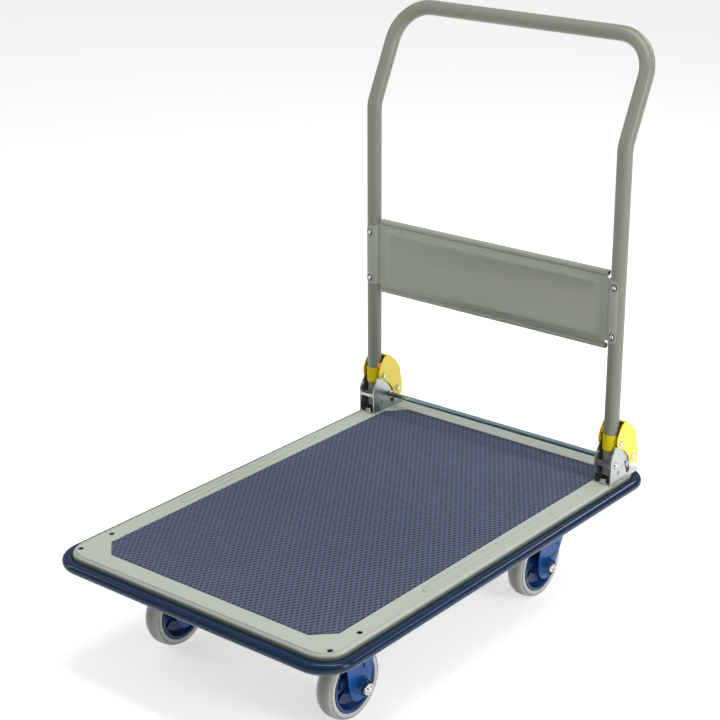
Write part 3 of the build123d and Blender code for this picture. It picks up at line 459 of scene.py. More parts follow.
# ---------------------------------------------------------------- fasteners
def hexagon(bm, centre, axis, facing, flats, height, hole=0.0):
    """A hexagon head or nut with its corners turned off at the outer face."""
    rings = []
    land = flats / 2 * 0.95
    for turn in even_turns(72):
        off = (math.degrees(turn) + 30) % 60 - 30
        edge = flats / 2 / math.cos(math.radians(off))
        shoulder = height - max(0.0, edge - land) * math.tan(math.radians(30))
        inner = hole if hole else 0.02 * MM
        profile = [(0, inner), (0, edge), (shoulder, edge), (height, land)]
        if hole:
            profile += [(height, hole + 0.8 * MM), (height - 0.8 * MM, hole)]
        else:
            profile += [(height - 0.25 * MM, land * 0.55), (height - 0.25 * MM, inner)]
        rings.append([beside(centre, axis, facing * along, radius, turn) for along, radius in profile])
    ring_rows(bm, rings, close_rows=True)


def threaded(bm, centre, axis, facing, radius, length, pitch):
    """A thread's crests and roots on a bolt end, with a chamfered tip."""
    turns = max(2, int(length / pitch))
    profile = []
    for i in range(turns):
        start = length * i / turns
        profile += [(start, radius * 0.87), (start + pitch * 0.45, radius)]
    profile += [(length, radius * 0.87), (length + radius * 0.12, radius * 0.72)]
    profile = [(facing * along, r) for along, r in capped(profile)]
    lathe(bm, profile, centre, axis, 40)


def washer(bm, centre, axis, facing, outer, hole, thick):
    """A flat ring with eased rims."""
    ease = thick * 0.25
    profile = [(0, hole), (0, outer - ease), (ease, outer), (thick - ease, outer),
               (thick, outer - ease), (thick, hole)]
    lathe(bm, [(facing * along, r) for along, r in profile], centre, axis, 56)


def domed_head(bm, centre, axis, facing, radius, height, dimple=0.0):
    """A low rivet dome, with a dimple in the middle if asked."""
    profile = [(0, radius)]
    profile += [(height * math.sin(math.radians(a)), radius * (0.35 + 0.65 * math.cos(math.radians(a))))
                for a in (15, 30, 45, 60, 75, 90)]
    if dimple:
        profile += [(height, dimple * 1.1), (height - dimple * 0.5, dimple * 0.6)]
    lathe(bm, [(facing * along, r) for along, r in capped(profile)], centre, axis, 48)


# ================================================================ deck
def wall_loop(grow):
    """The tray wall's outline in plan, grown outwards by a distance."""
    return rounded_rectangle(RIM_HALF_X + grow, RIM_HALF_Y + grow, TRAY_CORNER + grow)


def wall_section(bm, section):
    """Sweep a section of (outward in mm, height in mm) points round the tray."""
    flat_sweep(bm, wall_loop, [(out * MM, z * MM) for out, z in section])


def build_mat():
    """The rubber mat: close slanting bars, joined by lower thin ridges that cross the gaps."""
    half_x, half_y = 5.2 * MM, 7.35 * MM
    edge_gap, chamfer = 0.9 * MM, 33.5 * MM
    edge_x, edge_y = MAT_HIGH.x - edge_gap, MAT_HIGH.y - edge_gap
    bar_steps = ((0.0, 0.0), (0.22, 0.0), (0.32, -0.95), (0.68, -0.95), (0.78, 0.0))
    ridge_steps = (0.0, 0.13, 0.22, 0.78, 0.87)
    ridge_drop = -0.12
    top, bottom = MAT_HIGH.z, MAT_LOW.z
    reach = int(MAT_HIGH.x / half_x / 2 + MAT_HIGH.y / half_y / 2) + 3
    bm = bmesh.new()
    made = {}

    def vertex(i, k, a, b):
        """The mesh point at step a across the bars and step b along them, in cell (i, k)."""
        i, a = i + a // len(bar_steps), a % len(bar_steps)
        k, b = k + b // len(ridge_steps), b % len(ridge_steps)
        if (i, k, a, b) not in made:
            across, drop = bar_steps[a]
            if drop and b in (0, 1, len(ridge_steps) - 1):
                drop = ridge_drop
            run = ridge_steps[b]
            spot = ((k + run - i - across) * half_x, (k + run + i + across) * half_y, top + drop * MM)
            made[i, k, a, b] = bm.verts.new(spot)
        return made[i, k, a, b]

    for i in range(-reach, reach + 1):
        for k in range(-reach, reach + 1):
            x, y = (k - i) * half_x, (k + i) * half_y
            if abs(x) > MAT_HIGH.x + 2 * half_x or abs(y) > MAT_HIGH.y + 2 * half_y:
                continue
            for a in range(len(bar_steps)):
                for b in range(len(ridge_steps)):
                    bm.faces.new((vertex(i, k, a, b), vertex(i, k, a, b + 1),
                                  vertex(i, k, a + 1, b + 1), vertex(i, k, a + 1, b)))
    cuts = [((s * edge_x, 0, 0), (s, 0, 0)) for s in (1, -1)]
    cuts += [((0, s * edge_y, 0), (0, s, 0)) for s in (1, -1)]
    for sx in (1, -1):
        for sy in (1, -1):
            cuts.append(((sx * (edge_x - chamfer), sy * edge_y, 0), (sx, sy, 0)))
    for point, normal in cuts:
        everything = bm.verts[:] + bm.edges[:] + bm.faces[:]
        bmesh.ops.bisect_plane(bm, geom=everything, plane_co=point, plane_no=normal, clear_outer=True)
    rim = [edge for edge in bm.edges if edge.is_boundary]
    skirt = bmesh.ops.extrude_edge_only(bm, edges=rim)["geom"]
    for vert in skirt:
        if isinstance(vert, bmesh.types.BMVert):
            vert.co.z = bottom
    loop = [edge for edge in bm.edges if edge.is_boundary]
    bmesh.ops.edgeloop_fill(bm, edges=loop)
    return finish_piece(bm, "mat_tread", "deck", MAT_RUBBER, ("deck_mat",), angle=50)


def build_bumper():
    """The round vinyl bumper, tucked against the wall above and into the steel lip below."""
    middle, radius = (10.0, 189.5), 8.95
    nose = arc(middle, radius, 104, -64, 26)
    section = [(0.15, 195.6), (1.2, 196.9), (3.6, 197.7), *nose, (13.2, 181.0), (12.6, 180.55),
               (0.15, 180.55)]
    bm = bmesh.new()
    wall_section(bm, section)
    return finish_piece(bm, "bumper_vinyl", "deck", BUMPER_VINYL, ("bumper_strip",), angle=50)


def bead_section(out, z, width, height, sunk):
    """A low rounded bead's section, with its foot sunk a little below the sheet's face."""
    points = [(out + width / 2 * math.cos(math.radians(a)), z + height * math.sin(math.radians(a)))
              for a in range(0, 181, 20)]
    return [*points, (out - width / 2, z - sunk), (out + width / 2, z - sunk)]


def stadium(bm, centre_x, centre_y, half_x, half_y, width, height):
    """A raised bead round a long stadium on the rim."""
    def loop_at(grow):
        return rounded_rectangle(half_x + grow, half_y + grow, half_x + grow - 0.01 * MM,
                                 shift=(centre_x, centre_y))

    flat_sweep(bm, loop_at, bead_section(0, DECK_TOP, width, height, 0.1 * MM))


def build_tray():
    """The pressed tray, its edge beads, and the long raised beads on its side rims."""
    refined("deck_tray", "deck", TRAY_PAINT, 0.7 * MM)
    top = DECK_TOP / MM

    def edge_beads(bm):
        for out in (-6.7, -5.1):
            wall_section(bm, bead_section(out, top, 1.4, 0.8, 0.1))
        wall_section(bm, [(0.02, 199.2), (0.75, 198.9), (0.95, 198.4), (0.75, 197.9), (0.02, 197.6)])

    joined("rim_edge_beads", [edge_beads], "deck", TRAY_PAINT)

    def side_beads(bm):
        for side in SIDES.values():
            for half_x, half_y in ((7.0 * MM, 183 * MM), (4.6 * MM, 180.6 * MM)):
                stadium(bm, side * (MAT_HIGH.x + 19 * MM), 0, half_x, half_y, 1.5 * MM, 0.9 * MM)

    joined("rim_side_beads", [side_beads], "deck", TRAY_PAINT)

    def hole_cups(bm):
        """Closed weld nuts under the four spare holes at the front, near-black as painted shade inside the
        holes.
        """
        profile = [(-10.0, 0.02), (-10.0, 6.9), (-9.4, 7.5), (-1.6, 7.5), (-1.6, 5.02), (-9.0, 5.0),
                   (-9.0, 0.02)]
        for side in SIDES.values():
            for y in SPARE_HOLE_YS:
                lathe(bm, in_mm(profile), (side * UPRIGHT_X, y, DECK_TOP), "Z", 40)

    hardware("spare_hole_shade_cups", [hole_cups], "deck", material=SHADE_BLACK)
    for end in ENDS:
        refined(f"cross_rib_{end}", "deck", RIB_PAINT, 1.0 * MM)
    for side in SIDES:
        refined(f"long_rib_{side}", "deck", RIB_PAINT, 1.0 * MM)


def bolt_points(node):
    """The middles of the separate solids in a group of like CAD fasteners, seen from above."""
    spacing = 20 * MM
    groups = []
    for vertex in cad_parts[node].data.vertices:
        for group in groups:
            if (vertex.co.xy - group[0]).length < spacing:
                group.append(vertex.co.xy.copy())
                break
        else:
            groups.append([vertex.co.xy.copy()])
    points = []
    for group in groups:
        low = Vector((min(p.x for p in group), min(p.y for p in group)))
        high = Vector((max(p.x for p in group), max(p.y for p in group)))
        points.append((low + high) / 2)
    return points


def build_upright_bolts(node, head_base, head_up, grip):
    """Hexagon bolts along Z with washers, nuts and threaded tails, in place of a CAD group."""
    def maker(bm):
        for point in bolt_points(node):
            head = (point.x, point.y, head_base)
            washer(bm, head, "Z", head_up, 9 * MM, 4 * MM, 1.4 * MM)
            seat = (point.x, point.y, head_base + head_up * 1.35 * MM)
            hexagon(bm, seat, "Z", head_up, 13 * MM, 5.3 * MM)
            nut = (point.x, point.y, head_base - head_up * grip)
            hexagon(bm, nut, "Z", -head_up, 13 * MM, 6.5 * MM, hole=4 * MM)
            threaded(bm, nut, "Z", -head_up, 3.95 * MM, 9 * MM, 1.25 * MM)

    hardware(f"{node}_hex", [maker], "deck", (node,))


# ================================================================ handle
def handle_path():
    """The handle's centre line, from foot to foot, with four rounded corners."""
    foot_z = TUBE_LOW.z
    points = [(-UPRIGHT_X, UPRIGHT_Y, foot_z), (-UPRIGHT_X, UPRIGHT_Y, ELBOW_Z),
              (-UPRIGHT_X, HANDLE_TOP_Y, HANDLE_TOP_Z), (UPRIGHT_X, HANDLE_TOP_Y, HANDLE_TOP_Z),
              (UPRIGHT_X, UPRIGHT_Y, ELBOW_Z), (UPRIGHT_X, UPRIGHT_Y, foot_z)]
    radii = (ELBOW_RADIUS, TOP_CORNER_RADIUS, TOP_CORNER_RADIUS, ELBOW_RADIUS)
    return filleted(points, radii, 24)


def build_tube():
    """The bent handle tube, hollow and open at its feet."""
    bm = bmesh.new()
    tube_along(bm, handle_path(), TUBE_RADIUS, bore=12 * MM, around=56)
    finish_piece(bm, "handle_tube_bent", "handle", TUBE_PAINT, ("handle_tube",))


def frame_distance(x, z, half_x, half_z, radius):
    """How far a point of the panel lies outside a rounded rectangle."""
    dx, dz = abs(x) - half_x + radius, abs(z) - half_z + radius
    outside = math.hypot(max(dx, 0), max(dz, 0))
    return outside + min(max(dx, dz), 0) - radius


def smooth_step(value, low, high):
    """An S-shaped ramp from 0 at low to 1 at high."""
    share = min(1.0, max(0.0, (value - low) / (high - low)))
    return share * share * (3 - 2 * share)


def steps_between(bands):
    """Sample places along a line from (start, end, step) bands that follow each other."""
    places = []
    for start, end, step in bands:
        count = max(1, round((end - start) / step))
        places += [start + (end - start) * i / count for i in range(count)]
    return [*places, bands[-1][1]]


def build_panel():
    """The pressed sign panel: framed sheet, rolled edges, wrap-round tabs and screws."""
    sheet, roll = 1.5 * MM, 5.5 * MM
    low_z, high_z = PANEL_LOW.z + roll, PANEL_HIGH.z - roll
    middle_z, half_z = (low_z + high_z) / 2, (high_z - low_z) / 2
    front_y = 359.5 * MM
    half_length = 249.4 * MM

    def rise(x, z):
        """How far the pressing stands forward of the flat sheet, with a groove along each roll."""
        outer = frame_distance(x, z - middle_z, 240.5 * MM, half_z - 13 * MM, 6 * MM)
        inner = frame_distance(x, z - middle_z, 226 * MM, half_z - 22 * MM, 5 * MM)
        field = smooth_step(-outer, 0, 2.6 * MM) * 2.4 * MM
        field -= smooth_step(-inner, 0, 2.6 * MM) * 2.2 * MM
        to_roll = half_z - abs(z - middle_z)
        return field - smooth_step(6.8 * MM - to_roll, 0, 2.2 * MM) * 1.9 * MM

    flank = [(248.0, 241.0, 3.5), (241.0, 237.6, 0.43), (237.6, 226.4, 3.7), (226.4, 223.0, 0.43)]
    half = [(half_length / MM, 248.0, 0.7), *flank, (223.0, 0.0, 14.0)]
    xs = [-x * MM for x in steps_between(half)]
    xs += [-x for x in reversed(xs[:-1])]
    reach = half_z / MM
    upper = [(reach, reach - 4.4, 1.5), (reach - 4.4, reach - 7.0, 0.45), (reach - 7.0, reach - 12.6, 2.8),
             (reach - 12.6, reach - 16.0, 0.5), (reach - 16.0, reach - 21.6, 2.8),
             (reach - 21.6, reach - 25.0, 0.5), (reach - 25.0, 0.0, 8.0)]
    zs = [-z * MM for z in steps_between(upper)]
    zs += [-z for z in reversed(zs[:-1])]

    bm = bmesh.new()
    front = [[Vector((x, front_y - rise(x, middle_z + z), middle_z + z)) for x in xs] for z in zs]
    back = [[point + Vector((0, sheet, 0)) for point in row] for row in front]
    close_sheet(bm, ring_rows(bm, [f + list(reversed(b)) for f, b in zip(front, back)]))
    for z in (low_z, high_z):
        ends = [Vector((-half_length, front_y + roll, z)), Vector((half_length, front_y + roll, z))]
        tube_along(bm, ends, roll, bore=roll - sheet, around=40)
    finish_piece(bm, "panel_sheet", "handle", PANEL_PAINT, ("handle_panel",), angle=40)

    tabs = bmesh.new()
    wrap = 1.4 * MM
    for side in SIDES.values():
        centre = Vector((side * UPRIGHT_X, UPRIGHT_Y))
        outline = []
        for x in (half_length - 14 * MM, half_length - 7 * MM, half_length, half_length + 2.4 * MM):
            outline.append(Vector((side * x, front_y - 0.9 * MM)))
        turns = [math.radians(200 + (303 - 200) * i / 22) for i in range(23)]
        for turn in turns:
            local = Vector((math.cos(turn), math.sin(turn))) * (TUBE_RADIUS + wrap)
            outline.append(centre + Vector((side * local.x, local.y)))
        tab_sheet(tabs, outline, TAB_LOW_Z, TAB_HIGH_Z, wrap, side)
    finish_piece(tabs, "panel_tabs", "handle", PANEL_PAINT, angle=40)

    def seats():
        """Each screw's seat on the front of the tabs."""
        for side in SIDES.values():
            for z in PANEL_SCREW_ZS:
                yield side * UPRIGHT_X, UPRIGHT_Y - TUBE_RADIUS - wrap, z

    def cups(bm):
        for x, y, z in seats():
            washer(bm, (x, y + 0.3 * MM, z), "Y", -1, 6.0 * MM, 2.4 * MM, 1.0 * MM)

    def heads(bm):
        for x, y, z in seats():
            domed_head(bm, (x, y - 0.6 * MM, z), "Y", -1, 4.2 * MM, 1.9 * MM, dimple=1.9 * MM)

    # The near-black cups give each screw head a dark ring: painted shade in the gap round it.
    hardware("panel_screw_cups", [cups], "handle", material=SHADE_BLACK)
    hardware("panel_screw_heads", [heads], "handle", ("panel_screws",))


def tab_sheet(bm, outline, low_z, high_z, thick, side):
    """A wrapped sheet between two heights whose free end has rounded corners."""
    steps, corner = 20, 9 * MM
    lengths = [0.0]
    for a, b in zip(outline, outline[1:]):
        lengths.append(lengths[-1] + (b - a).length)
    rows = []
    for i, (point, run) in enumerate(zip(outline, lengths)):
        left = max(0.0, corner - (lengths[-1] - run))
        cut = corner - math.sqrt(max(0.0, corner ** 2 - left ** 2))
        ahead = outline[min(i + 1, len(outline) - 1)] - outline[max(i - 1, 0)]
        inward = Vector((-ahead.y, ahead.x)).normalized() * side * thick
        heights = [low_z + cut + (high_z - low_z - 2 * cut) * k / steps for k in range(steps + 1)]
        outer = [Vector((point.x, point.y, z)) for z in heights]
        inner = [Vector((point.x + inward.x, point.y + inward.y, z)) for z in reversed(heights)]
        rows.append(outer + inner)
    close_sheet(bm, ring_rows(bm, rows))


# ================================================================ pivots, guards and lock
def build_pivots():
    """On each side: the bracket, cradle plate, guard, collar and buffer, with their pivot and spring."""
    for name, side in SIDES.items():
        refined(f"handle_bracket_{name}", "deck", ZINC, 0.5 * MM)
        refined(f"lock_quadrant_{name}", "handle", ZINC, 0.35 * MM)
        refined(f"pivot_guard_{name}", "handle", GUARD_YELLOW, 0.9 * MM, 4)
        refined(f"tube_collar_{name}", "handle", COLLAR_YELLOW, 0.4 * MM)
        # The buffers' orange is painted shade of the yellow guard.
        refined(f"stop_buffer_{name}", "handle", GUARD_SHADE_ORANGE, 1.0 * MM)
        build_pivot_rivet(name, side)
        build_lock_coil(name)


def build_pivot_rivet(name, side):
    """A pivot's shank through the bracket's two cheeks, with a washer and a domed head outside."""
    middle = centre_of(f"pivot_bolt_{name}")
    face = side * (UPRIGHT_X + BRACKET_CHEEK)
    far_end = side * (UPRIGHT_X - BRACKET_CHEEK - 0.5 * MM)

    def pivot(bm):
        shank = [Vector((far_end, middle.y, middle.z)), Vector((face, middle.y, middle.z))]
        tube_along(bm, shank, 4 * MM)
        washer(bm, (face, middle.y, middle.z), "X", side, 7 * MM, 4 * MM, 0.9 * MM)
        seat = (face + side * 0.8 * MM, middle.y, middle.z)
        domed_head(bm, seat, "X", side, 5.8 * MM, 2.5 * MM, dimple=1.2 * MM)

    hardware(f"pivot_rivet_{name}", [pivot], "deck", (f"pivot_bolt_{name}",))


def build_lock_coil(name):
    """A coil spring in the CAD spring's box, with a mesh of its own."""
    low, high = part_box(f"lock_spring_{name}")
    middle, height = (low + high) / 2, high.z - low.z
    wire, turns, steps = 0.5 * MM, 5, 28

    def spring(bm):
        radius, rise = (high.x - low.x) / 2 - wire, height - 2 * wire
        path = []
        for i in range(turns * steps + 1):
            along = low.z + wire + rise * i / (turns * steps)
            path.append(beside((middle.x, middle.y, 0), "Z", along, radius, 2 * math.pi * i / steps))
        tube_along(bm, path, wire, around=10)

    coil = hardware(f"lock_coil_{name}", [spring], "deck", (f"lock_spring_{name}",))
    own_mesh(coil)


def build_guard_bolts():
    """Round heads outside and nuts inside, through each guard's two cheeks."""
    def maker(bm):
        for side in SIDES.values():
            outer, inner = side * (UPRIGHT_X + GUARD_CHEEK), side * (UPRIGHT_X - GUARD_CHEEK)
            for y, z in GUARD_BOLTS_YZ:
                ends = [Vector((inner - side * 4.4 * MM, y, z)), Vector((outer, y, z))]
                tube_along(bm, ends, 2.9 * MM, around=28)
                washer(bm, (outer, y, z), "X", side, 6.6 * MM, 2.9 * MM, 0.8 * MM)
                domed_head(bm, (outer + side * 0.7 * MM, y, z), "X", side, 5.2 * MM, 1.9 * MM, 1.5 * MM)
                hexagon(bm, (inner, y, z), "X", -side, 10 * MM, 3.4 * MM, hole=2.9 * MM)

    hardware("guard_bolt_heads", [maker], "handle", ("guard_bolts",))


def build_lock_bar():
    """The round lock bar, with a groove for a clip inside each bracket, and its clips."""
    low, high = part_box("lock_bar")
    middle, radius = (low + high) / 2, (high.z - low.z) / 2
    half = high.x - middle.x
    groove = UPRIGHT_X - 18.2 * MM

    def bar(bm):
        ease = 0.9 * MM
        profile = [(-half, radius - ease), (-half + ease * 0.3, radius - ease * 0.3), (-half + ease, radius)]
        for face in (-groove, groove):
            inboard = face - math.copysign(1.2 * MM, face)
            first, second = sorted((face, inboard))
            profile += [(first, radius), (first, 4.2 * MM), (second, 4.2 * MM), (second, radius)]
        profile += [(half - ease, radius), (half - ease * 0.3, radius - ease * 0.3), (half, radius - ease)]
        lathe(bm, capped(profile), middle, "X", 48)

    joined("lock_bar_round", [bar], "lock_bar", BAR_ZINC, ("lock_bar",))
    refined("lock_bar_clips", "lock_bar", STEEL, 0.2 * MM, 2)


# ================================================================ casters
def build_fork(node, body, axle_y, side):
    """A pressed fork: the CAD shape with rolled edges and a raised lip round each boss's seat."""
    refined(node, body, BLUE_PAINT, 1.0 * MM, 4)

    def lips(bm):
        for face in (-1, 1):
            seat = (side * TRACK_X + face * SEAT, axle_y, AXLE_Z)
            profile = [(-0.6, 15.0), (2.0, 14.6), (3.5, 14.1), (4.0, 13.6), (3.6, 13.1), (0.1, 12.7),
                       (-0.6, 12.7)]
            lathe(bm, in_mm(profile, face), seat)

    joined(f"{node}_lip", [lips], body, BLUE_PAINT)


def crescent(bm, axle_y, face_x, side, shift, width, height):
    """A curved raised fold on a swivel leg, beside the boss."""
    steps, reach = 20, 28.6 * MM
    centre = Vector((axle_y + 11.3 * MM, AXLE_Z + 42.1 * MM + shift))
    rows = []
    for i in range(steps + 1):
        share = i / steps
        turn = math.radians(238.4 + 68.8 * share)
        outward = Vector((math.cos(turn), math.sin(turn)))
        half = width * (0.15 + math.sin(math.pi * share))
        row = []
        for a in range(0, 181, 30):
            spot = centre + outward * (reach + math.cos(math.radians(a)) * half)
            lift = math.sin(math.radians(a)) * height * (0.3 + 0.7 * math.sin(math.pi * share))
            row.append(Vector((face_x + side * lift, spot.x, spot.y)))
        rows.append(row)
    made = ring_rows(bm, rows)
    bm.faces.new(made[0])
    bm.faces.new(made[-1])


def build_axle(node, body, side, y, nut_outboard):
    """An axle bolt with its round head; returns the makers of its nut and of its dark rings, which are
    painted shade in the recess round the head and nut.
    """
    outward = -side if nut_outboard else side
    head_face = side * TRACK_X + outward * SEAT
    nut_face = side * TRACK_X - outward * SEAT

    def bolt(bm):
        shank = [Vector((nut_face, y, AXLE_Z)), Vector((head_face, y, AXLE_Z))]
        tube_along(bm, shank, 5.95 * MM)
        profile = [(2.4, 8.3), (5.8, 8.3), (7.0, 7.6), (7.6, 6.2), (7.3, 4.4), (6.4, 3.8)]
        lathe(bm, capped(in_mm(profile, outward)), (head_face, y, AXLE_Z), "X", 48)
        threaded(bm, (nut_face, y, AXLE_Z), "X", -outward, 5.9 * MM, 12.2 * MM, 1.5 * MM)

    hardware(f"{node}_bolt", [bolt], body, (node,))

    def nut(bm):
        seat = (nut_face - outward * 1.95 * MM, y, AXLE_Z)
        hexagon(bm, seat, "X", -outward, 19 * MM, 8.4 * MM, hole=6.05 * MM)

    def rings(bm):
        washer(bm, (head_face, y, AXLE_Z), "X", outward, 11.9 * MM, 6 * MM, 2.5 * MM)
        washer(bm, (nut_face, y, AXLE_Z), "X", -outward, 11.9 * MM, 6.05 * MM, 2 * MM)

    return nut, rings


def build_wheel(name, side, y):
    """A grey tyre with moulded bars round its shoulders, on a dished blue rim with five webs a side."""
    centre = (side * TRACK_X, y, AXLE_Z)
    body = f"wheel_{name}"

    def tyre(bm):
        half = [(14.0, 46.0), (14.0, 49.6), (14.9, 50.0), (15.6, 51.0), (15.85, 53.2), (15.75, 54.6),
                (15.5, 55.9), (15.25, 56.1), (15.25, 56.6), (15.2, 57.3), (14.3, 58.9), (12.9, 60.3),
                (11.2, 61.4), (9.4, 62.1), (7.9, 62.5), (7.5, 62.1), (7.1, 62.1), (6.7, 62.65),
                (3.0, 63.0)]
        lathe(bm, in_mm(mirrored(half)), centre, "X", 144)
        for face in (-1, 1):
            for turn in even_turns(96):
                block(bm, centre, turn, face * 13.2 * MM, face * 16.2 * MM, 56.2 * MM, 59.2 * MM, 1.0 * MM)

    joined(f"tyre_moulded_{name}", [tyre], body, TYRE, (f"tyre_{name}",))

    def rim(bm):
        half = [(21.9, 10.0), (21.9, 15.4), (21.2, 16.4), (14.0, 16.9), (6.2, 19.0), (3.4, 21.6),
                (3.0, 24.0), (3.0, 34.0), (4.0, 37.4), (7.4, 40.2), (12.6, 42.6), (15.4, 44.4),
                (16.2, 46.2), (16.4, 48.0), (16.2, 49.2), (15.3, 49.6), (14.4, 49.3), (14.0, 46.0)]
        lathe(bm, in_mm(mirrored(half)), centre, "X", 120)
        for face in (-1, 1):
            for turn in even_turns(5):
                block(bm, centre, turn, face * 2.6 * MM, face * 6.2 * MM, 18.6 * MM, 39.0 * MM, 1.2 * MM)

    joined(f"rim_dished_{name}", [rim], body, RIM_PAINT, (f"rim_{name}",))

    def bush(bm):
        profile = [(23.8, 6.05), (23.8, 9.4), (23.2, 10.0), (-23.2, 10.0), (-23.8, 9.4), (-23.8, 6.05)]
        lathe(bm, in_mm(profile), centre, "X", 48)

    joined(f"bush_plain_{name}", [bush], body, NYLON, (f"bush_{name}",))


def block(bm, centre, turn, near, far, low, high, half_width):
    """A small tapered bar lying along a radius of a wheel."""
    radial = Vector((0, math.cos(turn), math.sin(turn)))
    around = Vector((0, -math.sin(turn), math.cos(turn)))
    rows = []
    for along, share in ((near, 1.0), (far, 0.55)):
        ring = []
        for radius, way in ((low, -1), (high, -1), (high, 1), (low, 1)):
            eased = radius + (0.6 * MM if radius == low else -0.6 * MM) * (1 - share)
            ring.append(Vector(centre) + Vector((along, 0, 0)) + radial * eased
                        + around * way * half_width * share)
        rows.append(ring)
    made = ring_rows(bm, rows)
    bm.faces.new(made[0])
    bm.faces.new(made[1])


def build_leg_folds(name, side):
    """The curved fold beside each swivel fork's bosses, and a dark crescent above it: painted shade along
    the fold.
    """
    def folds(bm, shift=-2.4 * MM, width=1.5 * MM, height=1.1 * MM):
        for face in (-1, 1):
            face_x = side * TRACK_X + face * (LEG_OUTER - 0.1 * MM)
            crescent(bm, REAR_Y, face_x, face, shift, width, height)

    def shade_crescents(bm):
        folds(bm, shift=0.0, width=1.7 * MM, height=0.9 * MM)

    joined(f"fork_folds_{name}", [folds], f"swivel_{name}", BLUE_PAINT)
    hardware(f"fork_fold_shade_{name}", [shade_crescents], f"swivel_{name}", material=SHADE_BLACK)


def build_swivel(name):
    """What a swivel fork turns on: its plate, its kingpin and a ring of balls."""
    refined(f"swivel_plate_{name}", "deck", BLUE_PAINT, 0.6 * MM)
    low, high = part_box(f"kingpin_{name}")
    middle = (low + high) / 2

    def kingpin(bm):
        profile = [(low.z, 4.2 * MM), (low.z + 0.8 * MM, 8.5 * MM), (low.z + 1.6 * MM, 10.4 * MM),
                   (low.z + 2.4 * MM, 11 * MM), (low.z + 6 * MM, 11 * MM), (low.z + 6 * MM, 6 * MM),
                   (high.z, 6 * MM)]
        lathe(bm, capped(profile), (middle.x, middle.y, 0), "Z", 48)

    def balls(bm):
        track = centre_of(f"ball_race_{name}")
        for turn in even_turns(BALL_COUNT):
            spot = beside(track, "Z", 0, BALL_TRACK, turn)
            bmesh.ops.create_uvsphere(bm, u_segments=20, v_segments=12, radius=BALL_RADIUS,
                                      matrix=Matrix.Translation(spot))

    hardware(f"kingpin_rivet_{name}", [kingpin], "deck", (f"kingpin_{name}",))
    hardware(f"race_balls_{name}", [balls], f"swivel_{name}", (f"ball_race_{name}",))


def build_casters():
    """Two fixed casters in front and two swivel casters behind."""
    front_nuts, front_rings = [], []
    for name, side in SIDES.items():
        swivel = f"swivel_{name}"
        build_fork(f"fixed_fork_{name}", "deck", FRONT_Y, side)
        build_fork(f"swivel_fork_{name}", swivel, REAR_Y, side)
        build_leg_folds(name, side)
        nut, rings = build_axle(f"front_axle_{name}", "deck", side, FRONT_Y, True)
        front_nuts.append(nut)
        front_rings.append(rings)
        nut, rings = build_axle(f"rear_axle_{name}", swivel, side, REAR_Y, False)
        hardware(f"rear_axle_hex_{name}", [nut], swivel, (f"rear_axle_nut_{name}",))
        # Near-black rings: painted shade round the rear axle's head and nut.
        hardware(f"rear_axle_rings_{name}", [rings], swivel, material=SHADE_BLACK)
        build_wheel(f"front_{name}", side, FRONT_Y)
        build_wheel(f"rear_{name}", side, REAR_Y)
        build_swivel(name)
    hardware("front_axle_hexes", front_nuts, "deck", ("front_axle_nuts",))
    # Near-black rings: painted shade round the front axles' heads and nuts.
    hardware("front_axle_rings", front_rings, "deck", material=SHADE_BLACK)


build_mat()
build_tray()
build_bumper()
build_upright_bolts("bracket_bolts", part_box("bracket_bolts")[1].z - 6.7 * MM, 1, 4.3 * MM)
build_upright_bolts("caster_bolts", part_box("caster_bolts")[0].z + 6.7 * MM, -1, 6.3 * MM)
build_tube()
build_panel()
build_pivots()
build_guard_bolts()
build_lock_bar()
build_casters()


# ================================================================ floor, light and camera
def pale_floor():
    """A wide floor, a little self-lit so that it stays an even pale tone."""
    bm = bmesh.new()
    bmesh.ops.create_grid(bm, x_segments=1, y_segments=1, size=30)
    mesh = bpy.data.meshes.new("floor")
    bm.to_mesh(mesh)
    bm.free()
    floor = bpy.data.objects.new("floor", mesh)
    bpy.context.scene.collection.objects.link(floor)
    material = bpy.data.materials.new("floor_white")
    material.use_nodes = True
    shader = material.node_tree.nodes["Principled BSDF"]
    shader.inputs["Base Color"].default_value = (0.80, 0.80, 0.80, 1)
    shader.inputs["Roughness"].default_value = 0.9
    shader.inputs["Specular IOR Level"].default_value = 0.1
    shader.inputs["Emission Color"].default_value = (1, 1, 1, 1)
    shader.inputs["Emission Strength"].default_value = 0.52
    mesh.materials.append(material)


def soft_light(name, place, aim, size, power):
    """A rectangular area light at a place, turned towards a point."""
    data = bpy.data.lights.new(name, "AREA")
    data.shape = "RECTANGLE"
    data.size, data.size_y = size
    data.energy = power
    lamp = bpy.data.objects.new(name, data)
    lamp.location = place
    lamp.rotation_mode = "QUATERNION"
    lamp.rotation_quaternion = (Vector(aim) - Vector(place)).to_track_quat("-Z", "Y")
    bpy.context.scene.collection.objects.link(lamp)


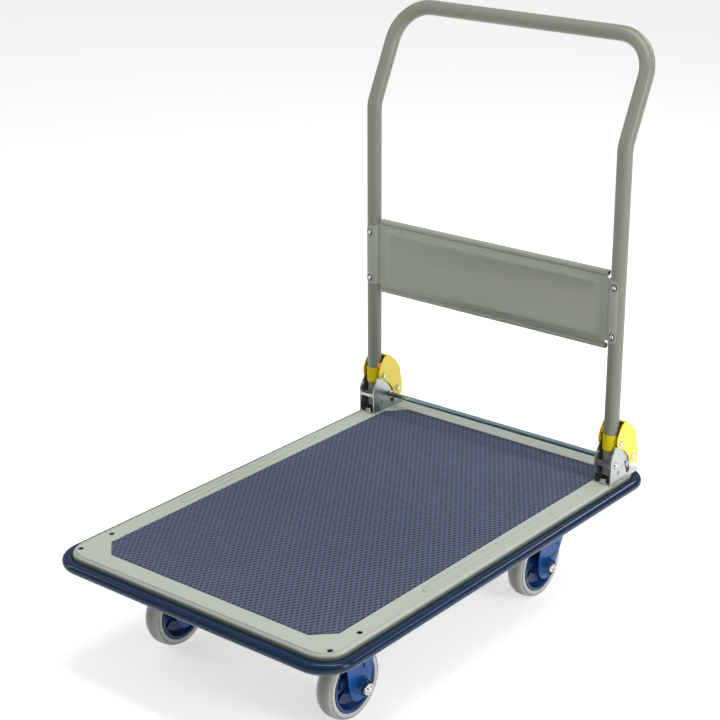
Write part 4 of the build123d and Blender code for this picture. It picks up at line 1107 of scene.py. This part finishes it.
def studio_world():
    """A studio dome: dim round the horizon, bright overhead and somewhat bright on the left."""
    world = bpy.data.worlds.new("studio")
    world.use_nodes = True
    nodes, links = world.node_tree.nodes, world.node_tree.links
    coords = nodes.new("ShaderNodeTexCoord")
    parts = nodes.new("ShaderNodeSeparateXYZ")
    links.new(coords.outputs["Generated"], parts.inputs["Vector"])
    tone = nodes.new("ShaderNodeValToRGB")
    dome = tone.color_ramp
    dome.elements[0].position, dome.elements[0].color = 0.0, (0.16, 0.17, 0.18, 1)
    dome.elements[1].position, dome.elements[1].color = 0.9, (1.0, 1.0, 1.0, 1)
    middle = dome.elements.new(0.36)
    middle.color = (0.26, 0.27, 0.28, 1)
    leftward = nodes.new("ShaderNodeMath")
    leftward.operation = "MULTIPLY_ADD"
    leftward.use_clamp = True
    leftward.inputs[1].default_value = -0.45
    links.new(parts.outputs["X"], leftward.inputs[0])
    links.new(parts.outputs["Z"], leftward.inputs[2])
    links.new(leftward.outputs["Value"], tone.inputs["Fac"])
    background = nodes["Background"]
    links.new(tone.outputs["Color"], background.inputs["Color"])
    background.inputs["Strength"].default_value = 0.62
    bpy.context.scene.world = world


def studio():
    """The floor, the dome, and four soft boxes: overhead, right, left and behind."""
    pale_floor()
    studio_world()
    soft_light("overhead", (0.4, 0.0, 3.0), (0.1, 0, 0.2), (1.0, 2.4), 48)
    soft_light("right_box", (3.0, 0.1, 1.3), (0, 0, 0.35), (0.9, 2.2), 42)
    soft_light("left_box", (-2.6, -1.6, 1.5), (0, 0, 0.4), (0.7, 1.8), 14)
    soft_light("back_strip", (1.15, 2.5, 2.15), (0.2, 0, 0.2), (3.4, 0.30), 31)
    bpy.context.scene.view_settings.view_transform = "Standard"


def place_camera():
    """A long lens, above and beyond the front right corner, leaning a hair."""
    data = bpy.data.cameras.new("camera")
    data.lens, data.sensor_width = 90.98, 36.0
    camera = bpy.data.objects.new("camera", data)
    place, aim = Vector((1.801, -2.230, 1.5685)), Vector((0.0328, -0.0526, 0.5044))
    lean = math.radians(-0.193)
    turned = (aim - place).to_track_quat("-Z", "Y").to_matrix() @ Matrix.Rotation(lean, 3, "Z")
    camera.matrix_world = Matrix.Translation(place) @ turned.to_4x4()
    bpy.context.scene.collection.objects.link(camera)
    bpy.context.scene.camera = camera


studio()
place_camera()
